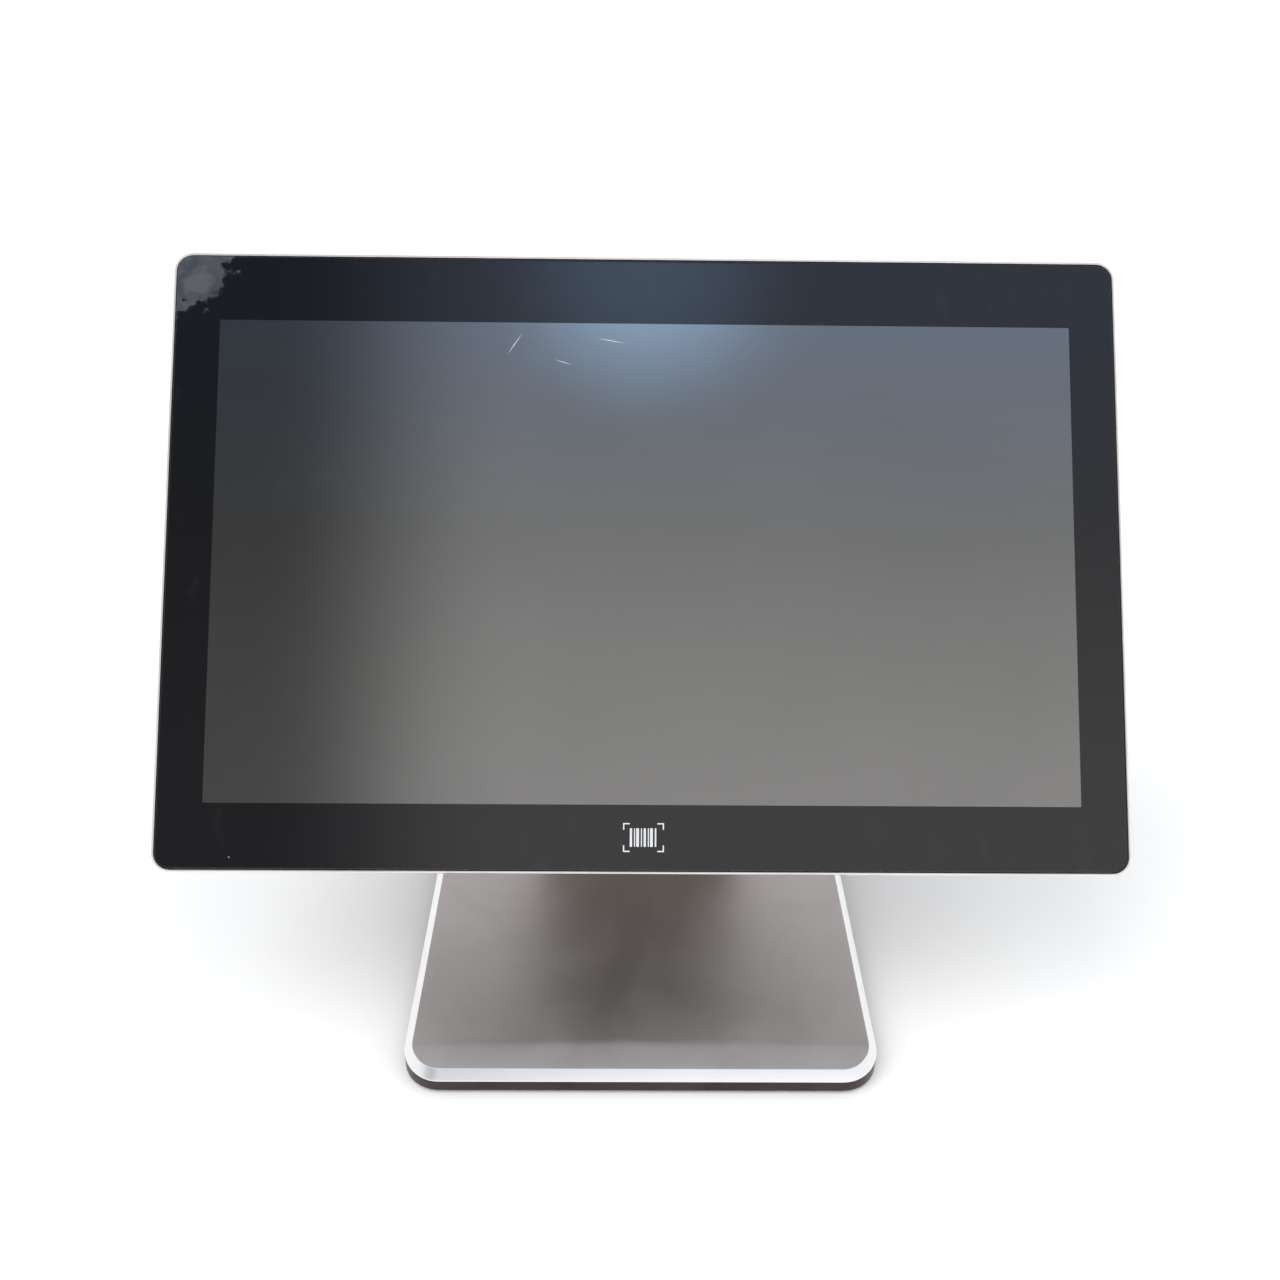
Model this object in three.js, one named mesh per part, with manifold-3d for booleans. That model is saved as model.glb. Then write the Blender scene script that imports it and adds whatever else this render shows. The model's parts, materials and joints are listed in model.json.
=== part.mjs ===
// Countertop point-of-sale touchscreen terminal: a wide glass-fronted display head that tilts on a
// friction hinge, carried by a hollow neck on a weighted flat base.
//
// Frame: millimetres, +Z up, the front of the terminal faces -Y, +X is to the right seen from the
// front. The origin lies on the counter surface under the centre of the base.
// The head is modelled upright in its own group (x right, y towards the rear, z up the screen, with
// y = 0 on the front face of the glass) and the whole group leans back.
import * as THREE from "three";
import { mergeVertices } from "three/addons/utils/BufferGeometryUtils.js";
import Module from "manifold-3d";

const wasm = await Module();
wasm.setup();

// ---------------------------------------------------------------- driving dimensions
const GAP = 0.3; // clearance between two pieces that touch on the real object
const SLIP = 0.5; // clearance around pieces that pass through a wall
const PAST = 5; // how far a cutting solid runs past the wall it cuts
const BITE = 0.2; // how far two joined shapes of one piece run into each other
const SHEET = 1.2; // steel sheet of the chassis and the bottom plate
const BOARD = 1.6; // thickness of every circuit board

// Stand
const BASE = { width: 194, depth: 200, corner: 15.5, underside: 1.5, deck: 12.8, wall: 2.5, side: 3 };
const BASE_CHAMFER = { inset: 3.4, height: 2.6 };
const NOSE = { bend: -85, slope: 0.21 }; // the front strip of the deck dips from y = bend forwards
const FOOT = { radius: 9, offsetX: 78, offsetY: 80, height: 1.5 };
const NECK = { halfWidth: 50, wall: 2.5, frontFoot: 46, rearFoot: 86, barrel: 15 };
const CORE = { sheet: 3, earInner: 42, earOuter: 46, flange: 2.5, eye: 10 };
const CORE_BLADE = { length: 70, footHalf: 7, topHalf: 9 };
const CORE_WINDOW = { foot: 45, belowTop: 20, halfWidth: 17, clearOfShaft: 14 };
const ACROSS = [-60, 60]; // runs past both sides of the neck and of the hinge arms

// Head
const LEAN_DEG = 37; // screen leans back from the vertical
const GLASS = { width: 380, height: 245.4, thickness: 2, corner: 6 };
const GLASS_CENTRE = { y: 6.8, z: 188 }; // in the row frame
const FRAME = { rim: 1.6, front: 0.3, ledge: 3.3, pocket: 4.8, rear: 10, wall: 1.8 };
const WINDOW = { width: 362, height: 221, corner: 2 };
const COVER = { front: 10.3, rear: 14, chamfer: 3.5, wall: 2, lip: 1.6 };
const BUMP = { width: 250, bottom: -91, top: 74, rear: 34, draft: 7, corner: 12 };
const BUMP_ROOT = { inside: 1, straight: 2, hollowDraft: 6.4 };
const BAY = { halfWidth: 82, bottom: -91, top: -58, front: 14.3 }; // cable bay behind the ports
const HINGE = { y: 52, z: -25 }; // tilt axis, in the head's own frame
const SHAFT = { radius: 5, halfLength: 63 };
const BORE = SHAFT.radius + GAP;
const ARM = { inner: 53, outer: 57, radius: 11, play: 1 };
const KNUCKLE = { inner: 50.6, outer: 66, radius: 15, wall: 2, innerWall: 1.6 };
const WASHER = { inner: CORE.earOuter + GAP, outer: ARM.inner - GAP, radius: 9 };
const BUTTON = { z: -85, y: 6.9, length: 12, width: 3, sunk: 0.2, deep: 3 };
const BUTTON_FLANGE = { deep: 3.7, wider: 0.4, longer: 4 };
const SCREW_AT = { x: 170, z: 105 }; // rear cover screws, in the head's own frame
const REAR_SCREW = { head: 3.2, thick: 1.6, shank: 1.4, hole: 1.8, seat: 4, sunk: 1 };
const CROSS = { length: 3.6, width: 0.8, floor: 0.8 }; // the driver's cross in a screw head

// three.js puts twice this many sides on an arc
const SEGMENTS = { corner: 3, round: 12, medium: 9, small: 6, tiny: 4, hexagon: 3 };
const MERGE_MM = 1e-4;

// ---------------------------------------------------------------- materials
function paint(color, roughness, metalness) {
  return new THREE.MeshStandardMaterial({ color, roughness, metalness });
}

const FINISH = {
  glass: paint(0x17181d, 0.06, 0),
  aluminium: paint(0xb3aaa8, 0.42, 0.9),
  blackPlastic: paint(0x232427, 0.55, 0),
  steel: paint(0x9a9c9f, 0.45, 0.9),
  castIron: paint(0x4a4b4d, 0.7, 0.6),
  rubber: paint(0x1b1b1c, 0.9, 0),
  foam: paint(0x111112, 0.95, 0),
  display: paint(0x3c3d3e, 0.35, 0),
  sensor: paint(0x6b6e70, 0.15, 0),
  board: paint(0x1d5a3a, 0.5, 0),
  socket: paint(0xa9abad, 0.35, 0.9),
  brass: paint(0xb39a5a, 0.35, 0.9),
};

// ---------------------------------------------------------------- solid helpers
function toManifold(geometry) {
  const bare = geometry.index ? geometry.toNonIndexed() : geometry.clone();
  bare.deleteAttribute("normal");
  bare.deleteAttribute("uv");
  const merged = mergeVertices(bare, MERGE_MM);
  const mesh = new wasm.Mesh({
    numProp: 3,
    vertProperties: merged.attributes.position.array,
    triVerts: new Uint32Array(merged.index.array),
  });
  return new wasm.Manifold(mesh);
}

function toGeometry(manifold) {
  const mesh = manifold.getMesh();
  const geometry = new THREE.BufferGeometry();
  geometry.setAttribute("position", new THREE.BufferAttribute(mesh.vertProperties, 3));
  geometry.setIndex(new THREE.BufferAttribute(mesh.triVerts, 1));
  geometry.computeVertexNormals();
  return geometry;
}

const combine = (method) => (first, ...others) =>
  toGeometry(others.reduce((made, g) => made[method](toManifold(g)), toManifold(first)));
const join = combine("add");
const cut = combine("subtract");
const common = combine("intersect");

function box([x0, x1], [y0, y1], [z0, z1]) {
  const geometry = new THREE.BoxGeometry(x1 - x0, y1 - y0, z1 - z0);
  return geometry.translate((x0 + x1) / 2, (y0 + y1) / 2, (z0 + z1) / 2);
}

// A span of the given length around a middle value.
const span = (middle, length) => [middle - length / 2, middle + length / 2];

// The same solid on the left (side -1) or on the right (side +1).
function onSide(side, inner, outer) {
  return side > 0 ? [inner, outer] : [-outer, -inner];
}

function roundedRectangle(width, height, radius, centreX = 0, centreY = 0) {
  const [left, right] = span(centreX, width);
  const [low, high] = span(centreY, height);
  const shape = new THREE.Shape();
  shape.absarc(right - radius, low + radius, radius, -Math.PI / 2, 0);
  shape.absarc(right - radius, high - radius, radius, 0, Math.PI / 2);
  shape.absarc(left + radius, high - radius, radius, Math.PI / 2, Math.PI);
  shape.absarc(left + radius, low + radius, radius, Math.PI, 1.5 * Math.PI);
  return shape;
}

function extrude(shape, depth, segments) {
  return new THREE.ExtrudeGeometry(shape, { depth, bevelEnabled: false, curveSegments: segments });
}

// A plate with its outline in XY, between two heights.
function flatPlate(shape, [z0, z1], segments = SEGMENTS.corner) {
  return extrude(shape, z1 - z0, segments).translate(0, 0, z0);
}

// A plate with its outline in XZ, between two depths: the shape's y axis becomes +Z.
function facePlate(shape, [y0, y1], segments = SEGMENTS.corner) {
  return extrude(shape, y1 - y0, segments).rotateX(Math.PI / 2).translate(0, y1, 0);
}

// A prism with its outline in YZ, between two places along X.
function sidePrism(shape, [x0, x1], segments = SEGMENTS.round) {
  const turn = new THREE.Matrix4().makeBasis(
    new THREE.Vector3(0, 1, 0),
    new THREE.Vector3(0, 0, 1),
    new THREE.Vector3(1, 0, 0),
  );
  return extrude(shape, x1 - x0, segments).applyMatrix4(turn).translate(x0, 0, 0);
}

function disc(radius, centreX = 0, centreY = 0) {
  const shape = new THREE.Shape();
  shape.absarc(centreX, centreY, radius, 0, 2 * Math.PI);
  return shape;
}

function polygon(points) {
  return new THREE.Shape(points.map(([x, y]) => new THREE.Vector2(x, y)));
}

// A rod along X, Y or Z through a point.
function rodX(radius, [x0, x1], y, z, segments = SEGMENTS.round) {
  return sidePrism(disc(radius, y, z), [x0, x1], segments);
}

function rodY(radius, [y0, y1], x, z, segments = SEGMENTS.small) {
  return facePlate(disc(radius, x, z), [y0, y1], segments);
}

function rodZ(radius, [z0, z1], x, y, segments = SEGMENTS.small) {
  return flatPlate(disc(radius, x, y), [z0, z1], segments);
}

// A closed skin through outlines of equal point counts, stacked along Z.
function loft(sections, segments = SEGMENTS.corner) {
  const rings = sections.map(([shape, z]) =>
    shape.extractPoints(segments).shape.map((p) => [p.x, p.y, z]),
  );
  const count = rings[0].length;
  const corners = [];
  const quad = (a, b, c, d) => corners.push(a, b, c, a, c, d);
  for (let level = 1; level < rings.length; level++) {
    const [under, over] = [rings[level - 1], rings[level]];
    for (let i = 0; i < count; i++) {
      const next = (i + 1) % count;
      quad(under[i], under[next], over[next], over[i]);
    }
  }
  const flat = rings[0].map(([x, y]) => new THREE.Vector2(x, y));
  for (const [a, b, c] of THREE.ShapeUtils.triangulateShape(flat, [])) {
    const [bottom, top] = [rings[0], rings[rings.length - 1]];
    corners.push(bottom[c], bottom[b], bottom[a], top[a], top[b], top[c]);
  }
  const geometry = new THREE.BufferGeometry();
  geometry.setAttribute("position", new THREE.Float32BufferAttribute(corners.flat(), 3));
  return geometry;
}

// The same, with outlines in XZ stacked from front to rear along +Y.
function faceLoft(sections) {
  const stacked = [...sections].reverse().map(([shape, y]) => [shape, -y]);
  return loft(stacked).rotateX(Math.PI / 2);
}

function part(name, material, geometry) {
  const mesh = new THREE.Mesh(geometry, material);
  mesh.name = name;
  return mesh;
}

// ---------------------------------------------------------------- base
function baseOutline(inset) {
  return roundedRectangle(BASE.width - 2 * inset, BASE.depth - 2 * inset, BASE.corner - inset);
}

// Lowers the upper points of the strip in front of the bend, so the deck dips towards the user.
function dipNose(geometry) {
  const dipped = geometry.clone();
  const position = dipped.getAttribute("position");
  for (let i = 0; i < position.count; i++) {
    const ahead = NOSE.bend - position.getY(i);
    if (ahead > 0 && position.getZ(i) > BASE.deck / 2) {
      position.setZ(i, position.getZ(i) - ahead * NOSE.slope);
    }
  }
  return dipped;
}

function baseBlank() {
  const slab = loft([
    [baseOutline(0), BASE.underside],
    [baseOutline(0), BASE.deck - BASE_CHAMFER.height],
    [baseOutline(BASE_CHAMFER.inset), BASE.deck],
  ]);
  const wide = [-BASE.width, BASE.width];
  const tall = [-PAST, BASE.deck + PAST];
  const rear = common(slab, box(wide, [NOSE.bend, BASE.depth], tall));
  const front = common(slab, box(wide, [-BASE.depth, NOSE.bend], tall));
  return join(rear, dipNose(front));
}

const BOSS = { radius: 4.5, pilot: 1.5, offsetX: 86, offsetY: 56, root: 1 };
const DECK_HOLE = { halfWidth: 46.8, front: 57, rear: 76 };
const CEILING = BASE.deck - BASE.wall;
const NOSE_CEILING = 6.6;

function baseBosses() {
  const posts = [];
  for (const x of [-BOSS.offsetX, BOSS.offsetX]) {
    for (const y of [-BOSS.offsetY, BOSS.offsetY]) {
      const post = rodZ(BOSS.radius, [BOTTOM_PLATE.top + GAP, CEILING + BOSS.root], x, y);
      posts.push(cut(post, rodZ(BOSS.pilot, [0, CEILING - BOSS.root], x, y)));
    }
  }
  return posts;
}

function baseShell() {
  const inner = roundedRectangle(
    BASE.width - 2 * BASE.side,
    BASE.depth - 2 * BASE.side,
    BASE.corner - BASE.wall,
  );
  const hollow = flatPlate(inner, [-PAST, CEILING]);
  const behindNose = box(
    [-BASE.width, BASE.width],
    [NOSE.bend + BASE.wall, BASE.depth],
    [-2 * PAST, BASE.deck],
  );
  const lowHollow = flatPlate(inner, [-PAST, NOSE_CEILING]);
  const deckHole = box(
    [-DECK_HOLE.halfWidth, DECK_HOLE.halfWidth],
    [DECK_HOLE.front, DECK_HOLE.rear],
    [CEILING - PAST, BASE.deck + PAST],
  );
  const shell = cut(baseBlank(), common(hollow, behindNose), lowHollow, deckHole);
  return part("base_shell", FINISH.aluminium, join(shell, ...baseBosses()));
}

const BOTTOM_PLATE = { bottom: BASE.underside + GAP, top: BASE.underside + GAP + SHEET };

function baseBottomPlate() {
  const inset = BASE.side + SLIP;
  const outline = roundedRectangle(
    BASE.width - 2 * inset,
    BASE.depth - 2 * inset,
    BASE.corner - inset,
  );
  const holes = eachBaseScrew((x, y) => rodZ(BOSS.pilot + GAP, [0, PAST], x, y));
  const plate = flatPlate(outline, [BOTTOM_PLATE.bottom, BOTTOM_PLATE.top]);
  return part("base_bottom_plate", FINISH.steel, cut(plate, ...holes));
}

function eachBaseScrew(make) {
  const corners = [
    [-1, -1],
    [1, -1],
    [-1, 1],
    [1, 1],
  ];
  return corners.map(([sx, sy], i) => make(sx * BOSS.offsetX, sy * BOSS.offsetY, i + 1));
}

function baseScrews() {
  const head = { radius: 2.8, bottom: 0.5, top: BASE.underside };
  const shank = { radius: 1.2, top: 8 };
  const groove = { length: 3.4, width: 0.7, depth: 0.5 };
  return eachBaseScrew((x, y, number) => {
    const cap = rodZ(head.radius, [head.bottom, head.top], x, y);
    const slot = box(
      span(x, groove.length),
      span(y, groove.width),
      [0, head.bottom + groove.depth],
    );
    const body = rodZ(shank.radius, [head.top - BITE, shank.top], x, y, SEGMENTS.tiny);
    return part(`base_screw_${number}`, FINISH.steel, join(cut(cap, slot), body));
  });
}

function feet() {
  const places = {
    foot_front_left: [-1, -1],
    foot_front_right: [1, -1],
    foot_rear_left: [-1, 1],
    foot_rear_right: [1, 1],
  };
  return Object.entries(places).map(([name, [sx, sy]]) => {
    const [x, y] = [sx * FOOT.offsetX, sy * FOOT.offsetY];
    const pad = rodZ(FOOT.radius, [0, FOOT.height], x, y, SEGMENTS.round);
    return part(name, FINISH.rubber, pad);
  });
}

const WEIGHT = { halfWidth: 76, front: -72, rear: 90, bottom: 3.4, thick: 10, thin: 7.2, corner: 6 };
const NECK_BOLT = { x: 52, y: 66, head: 4.6, headTop: 5.4, shank: 2.6 };

function counterweight() {
  const shape = roundedRectangle(
    2 * WEIGHT.halfWidth,
    WEIGHT.rear - WEIGHT.front,
    WEIGHT.corner,
    0,
    (WEIGHT.rear + WEIGHT.front) / 2,
  );
  const slab = flatPlate(shape, [WEIGHT.bottom, WEIGHT.thick]);
  const seat = box(
    [-WEIGHT.halfWidth - PAST, WEIGHT.halfWidth + PAST],
    [CORE_FLANGE.front - CORE_FLANGE.play, WEIGHT.rear + PAST],
    [WEIGHT.thin, WEIGHT.thick + PAST],
  );
  const bores = [-NECK_BOLT.x, NECK_BOLT.x].flatMap((x) => [
    rodZ(NECK_BOLT.head + SLIP, [0, NECK_BOLT.headTop + GAP], x, NECK_BOLT.y),
    rodZ(NECK_BOLT.shank + GAP, [0, WEIGHT.thick], x, NECK_BOLT.y),
  ]);
  return part("counterweight", FINISH.castIron, cut(slab, seat, ...bores));
}

function neckBolt(side, name) {
  const x = side * NECK_BOLT.x;
  const hexagon = disc(NECK_BOLT.head, x, NECK_BOLT.y);
  const head = flatPlate(hexagon, [WEIGHT.bottom, NECK_BOLT.headTop], SEGMENTS.hexagon);
  const shank = rodZ(NECK_BOLT.shank, [NECK_BOLT.headTop - BITE, CEILING - GAP], x, NECK_BOLT.y);
  return part(name, FINISH.steel, join(head, shank));
}

// ---------------------------------------------------------------- tilt axis in the row frame
const LEAN = THREE.MathUtils.degToRad(LEAN_DEG);
const AXIS = {
  y: GLASS_CENTRE.y + HINGE.y * Math.cos(LEAN) + HINGE.z * Math.sin(LEAN),
  z: GLASS_CENTRE.z - HINGE.y * Math.sin(LEAN) + HINGE.z * Math.cos(LEAN),
};

// ---------------------------------------------------------------- neck
const NECK_FOOT_Z = BASE.deck + GAP;

// The angle at which a line from a point just touches a circle around the tilt axis; side is +1 for
// the touching point on the front of the circle and -1 for the one on the rear.
function touchAngle([y, z], radius, side) {
  const toPoint = Math.atan2(z - AXIS.z, y - AXIS.y);
  const distance = Math.hypot(z - AXIS.z, y - AXIS.y);
  return toPoint - side * Math.acos(radius / distance);
}

// The neck seen from the side: two straight flanks that run up into a round barrel.
function neckProfile(inset) {
  const radius = NECK.barrel - inset;
  const low = inset ? NECK_FOOT_Z - PAST : NECK_FOOT_Z;
  const front = [NECK.frontFoot + inset, low];
  const rear = [NECK.rearFoot - inset, low];
  const shape = new THREE.Shape();
  shape.moveTo(...front);
  shape.lineTo(...rear);
  const start = touchAngle(rear, radius, -1);
  const end = touchAngle(front, radius, 1);
  shape.absarc(AXIS.y, AXIS.z, radius, start, end + 2 * Math.PI);
  return shape;
}

// Points on the rear flank, measured down from where it leaves the barrel.
function rearFlank() {
  const foot = new THREE.Vector2(NECK.rearFoot, NECK_FOOT_Z);
  const angle = touchAngle([foot.x, foot.y], NECK.barrel, -1);
  const top = new THREE.Vector2(
    AXIS.y + NECK.barrel * Math.cos(angle),
    AXIS.z + NECK.barrel * Math.sin(angle),
  );
  const down = foot.clone().sub(top);
  const length = down.length();
  down.normalize();
  const outward = new THREE.Vector2(-down.y, down.x);
  const at = (along, out) =>
    top.clone().addScaledVector(down, along).addScaledVector(outward, out);
  return { length, at };
}

// A slab lying along the rear flank: from..to along it, depths measured outward from its surface.
function flankSlab([from, to], [inside, outside], spanX) {
  const { at } = rearFlank();
  const points = [at(from, inside), at(to, inside), at(to, outside), at(from, outside)];
  const shape = new THREE.Shape(THREE.ShapeUtils.isClockWise(points) ? points.reverse() : points);
  return sidePrism(shape, spanX);
}

const FLANK = rearFlank();
const REAR_COVER_TOP = 6; // distance from the barrel down to the rear cover's upper edge
const CABLE_INLET = { from: 16, to: 32, halfWidth: 20 };
const CABLE_OUTLET = { halfWidth: 17, top: 29, edging: 2 };
const GROMMET = { proud: 1.2, reach: 30 };

function neckFrontShell() {
  const outside = sidePrism(neckProfile(0), [-NECK.halfWidth, NECK.halfWidth]);
  const innerHalf = NECK.halfWidth - NECK.wall;
  const hollow = sidePrism(neckProfile(NECK.wall), [-innerHalf, innerHalf]);
  const rearWindow = flankSlab(
    [REAR_COVER_TOP, FLANK.length + 2 * PAST],
    [-2 * NECK.wall, PAST],
    [-innerHalf, innerHalf],
  );
  const sideHoles = rodX(WASHER.radius + SLIP, ACROSS, AXIS.y, AXIS.z);
  return part("neck_front_shell", FINISH.aluminium, cut(outside, hollow, rearWindow, sideHoles));
}

function neckRearCover() {
  const half = NECK.halfWidth - NECK.wall - GAP;
  const plate = flankSlab(
    [REAR_COVER_TOP + GAP, FLANK.length + 2 * PAST],
    [-NECK.wall, 0],
    [-half, half],
  );
  const belowFoot = box(ACROSS, [0, 2 * NECK.rearFoot], [-PAST, NECK_FOOT_Z]);
  const inlet = flankSlab(
    [CABLE_INLET.from, CABLE_INLET.to],
    [-2 * NECK.wall, PAST],
    [-CABLE_INLET.halfWidth, CABLE_INLET.halfWidth],
  );
  const edge = CABLE_OUTLET.halfWidth + CABLE_OUTLET.edging;
  const outlet = box(
    [-edge, edge],
    [NECK.rearFoot - 4 * PAST, NECK.rearFoot + PAST],
    [0, CABLE_OUTLET.top + CABLE_OUTLET.edging],
  );
  return part("neck_rear_cover", FINISH.blackPlastic, cut(plate, belowFoot, inlet, outlet));
}

// The rubber edging of the cable outlet: an arch around its top and sides, proud of the cover.
function cableGrommet() {
  const edge = CABLE_OUTLET.halfWidth + CABLE_OUTLET.edging - GAP;
  const top = CABLE_OUTLET.top + CABLE_OUTLET.edging - GAP;
  const outer = [-edge, edge];
  const inner = [-CABLE_OUTLET.halfWidth, CABLE_OUTLET.halfWidth];
  const depths = [-NECK.wall - GROMMET.proud, GROMMET.proud];
  const along = [FLANK.length - GROMMET.reach, FLANK.length + PAST];
  const limits = box(outer, [0, 2 * NECK.rearFoot], [NECK_FOOT_Z, top]);
  const block = common(flankSlab(along, depths, outer), limits);
  const passage = box(inner, [0, 2 * NECK.rearFoot], [0, CABLE_OUTLET.top]);
  return part("cable_grommet", FINISH.rubber, cut(block, passage));
}

const CORE_FLANGE = { halfWidth: 60, front: 44, rear: 88, play: 2 };

// A line up the middle of the neck, as a unit vector and the foot point.
function neckMiddle() {
  const foot = new THREE.Vector2((NECK.frontFoot + NECK.rearFoot) / 2, CEILING - GAP);
  const up = new THREE.Vector2(AXIS.y, AXIS.z).sub(foot);
  const length = up.length();
  up.normalize();
  const across = new THREE.Vector2(-up.y, up.x);
  const at = (along, side) =>
    foot.clone().addScaledVector(up, along).addScaledVector(across, side);
  return { length, at };
}

function middleStrip([from, to], halfFrom, halfTo) {
  const { at } = neckMiddle();
  return new THREE.Shape([at(from, -halfFrom), at(to, -halfTo), at(to, halfTo), at(from, halfFrom)]);
}

function neckCore() {
  const { length } = neckMiddle();
  const ears = [-1, 1].map((side) => {
    const spanX = onSide(side, CORE.earInner, CORE.earOuter);
    const eye = rodX(CORE.eye, spanX, AXIS.y, AXIS.z);
    const strip = middleStrip(
      [length - CORE_BLADE.length, length],
      CORE_BLADE.footHalf,
      CORE_BLADE.topHalf,
    );
    const blade = sidePrism(strip, spanX);
    return join(eye, blade);
  });
  const webTop = length - SHAFT.radius - CORE_WINDOW.clearOfShaft;
  const web = sidePrism(
    middleStrip([-CORE.flange, webTop], CORE.sheet / 2, CORE.sheet / 2),
    [-CORE.earOuter, CORE.earOuter],
  );
  const window = sidePrism(
    middleStrip([CORE_WINDOW.foot, webTop - CORE_WINDOW.belowTop], 2 * PAST, 2 * PAST),
    [-CORE_WINDOW.halfWidth, CORE_WINDOW.halfWidth],
  );
  const flange = box(
    [-CORE_FLANGE.halfWidth, CORE_FLANGE.halfWidth],
    [CORE_FLANGE.front, CORE_FLANGE.rear],
    [WEIGHT.thin + GAP, CEILING - GAP],
  );
  const belowFlange = box(ACROSS, [0, BASE.depth / 2], [-PAST, WEIGHT.thin + GAP]);
  const trimmed = cut(web, belowFlange, window);
  const holes = [
    rodX(BORE, ACROSS, AXIS.y, AXIS.z),
    ...[-NECK_BOLT.x, NECK_BOLT.x].map((x) =>
      rodZ(NECK_BOLT.shank + GAP, [0, BASE.deck + PAST], x, NECK_BOLT.y),
    ),
  ];
  return part("neck_core", FINISH.steel, cut(join(flange, trimmed, ...ears), ...holes));
}

// ---------------------------------------------------------------- screen stack
function glassOutline(grow, radius = GLASS.corner + grow) {
  return roundedRectangle(GLASS.width + 2 * grow, GLASS.height + 2 * grow, radius);
}

function coverGlass() {
  return part("cover_glass", FINISH.glass, facePlate(glassOutline(0), [0, GLASS.thickness]));
}

const SENSOR = { width: 362.5, height: 221.5, thickness: 0.4 };

function touchSensor() {
  const sheet = roundedRectangle(SENSOR.width, SENSOR.height, WINDOW.corner);
  const depths = [GLASS.thickness + GAP, GLASS.thickness + GAP + SENSOR.thickness];
  return part("touch_sensor", FINISH.sensor, facePlate(sheet, depths));
}

const TAPE_INSET = 1; // from the edge of the glass, and from the window in the frame

function glassAdhesive() {
  const depths = [GLASS.thickness + GAP, FRAME.ledge - GAP];
  const ring = facePlate(glassOutline(-TAPE_INSET), depths);
  const hole = roundedRectangle(
    WINDOW.width + 2 * TAPE_INSET,
    WINDOW.height + 2 * TAPE_INSET,
    WINDOW.corner,
  );
  const through = facePlate(hole, [0, FRAME.rear]);
  return part("glass_adhesive", FINISH.foam, cut(ring, through));
}

function frontFrame() {
  const edge = FRAME.rim;
  const outer = facePlate(glassOutline(edge), [FRAME.front, FRAME.rear]);
  const glassPocket = facePlate(glassOutline(GAP), [-PAST, FRAME.ledge]);
  const window = roundedRectangle(WINDOW.width, WINDOW.height, WINDOW.corner);
  const through = facePlate(window, [0, FRAME.rear + PAST]);
  const rearPocket = facePlate(
    glassOutline(edge - FRAME.wall),
    [FRAME.pocket, FRAME.rear + PAST],
  );
  const slot = box(
    [GLASS.width / 2 - PAST, GLASS.width / 2 + PAST],
    span(BUTTON.y, BUTTON.width + 2 * GAP),
    span(BUTTON.z, BUTTON.length + 2 * GAP),
  );
  return part("front_frame", FINISH.aluminium, cut(outer, glassPocket, through, rearPocket, slot));
}

// The display module: its outside, and the shallow recess inside its metal edge.
const DISPLAY = { width: 359.5, height: 217.2, front: 3, rear: 7.6 };
const DISPLAY_RECESS = { width: 350, height: 205, floor: 3.2 };

function lcdPanel() {
  const body = box(
    span(0, DISPLAY.width),
    [DISPLAY.front, DISPLAY.rear],
    span(0, DISPLAY.height),
  );
  const recess = box(
    span(0, DISPLAY_RECESS.width),
    [0, DISPLAY_RECESS.floor],
    span(0, DISPLAY_RECESS.height),
  );
  return part("lcd_panel", FINISH.display, cut(body, recess));
}

const TRAY = { width: 374, height: 240, front: 5.1, sheetFront: 8, rear: 9.2 };
const STANDOFF = { radius: 3, hole: 1.6, top: 13.7, x: 82, zLow: -50, zHigh: 50 };
const SWITCH_NOTCH = { deep: 9, length: 20 }; // room in the tray's edge for the power switch

function midChassis() {
  const tray = box(span(0, TRAY.width), [TRAY.front, TRAY.rear], span(0, TRAY.height));
  const pocket = box(
    span(0, TRAY.width - 2 * SHEET),
    [0, TRAY.sheetFront],
    span(0, TRAY.height - 2 * SHEET),
  );
  const through = [0, TRAY.rear + PAST];
  const switchNotch = box(
    [TRAY.width / 2 - SWITCH_NOTCH.deep, TRAY.width],
    through,
    span(BUTTON.z, SWITCH_NOTCH.length),
  );
  const screwHoles = eachRearScrew((x, z) => rodY(REAR_SCREW.hole, through, x, z));
  const standoffs = [-STANDOFF.x, STANDOFF.x].flatMap((x) =>
    [STANDOFF.zLow, STANDOFF.zHigh].map((z) =>
      rodY(STANDOFF.radius, [TRAY.rear - BITE, STANDOFF.top], x, z),
    ),
  );
  const sheet = cut(tray, pocket, switchNotch, ...screwHoles);
  return part("mid_chassis", FINISH.steel, join(sheet, ...standoffs));
}

// ---------------------------------------------------------------- electronics
const MAINBOARD = { halfWidth: 88, bottom: -56, top: 56, front: 14, rear: 14 + BOARD };
const ON_BOARD = MAINBOARD.rear + GAP; // where components on the board start

function mainboard() {
  const blank = box(
    [-MAINBOARD.halfWidth, MAINBOARD.halfWidth],
    [MAINBOARD.front, MAINBOARD.rear],
    [MAINBOARD.bottom, MAINBOARD.top],
  );
  const holes = [-STANDOFF.x, STANDOFF.x].flatMap((x) =>
    [STANDOFF.zLow, STANDOFF.zHigh].map((z) =>
      rodY(STANDOFF.hole, [0, MAINBOARD.rear + PAST], x, z, SEGMENTS.tiny),
    ),
  );
  return part("mainboard", FINISH.board, cut(blank, ...holes));
}

const HEATSINK = { width: 60, height: 54, base: 3, finRoot: 2.5, finTop: 10, fins: 10 };

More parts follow.
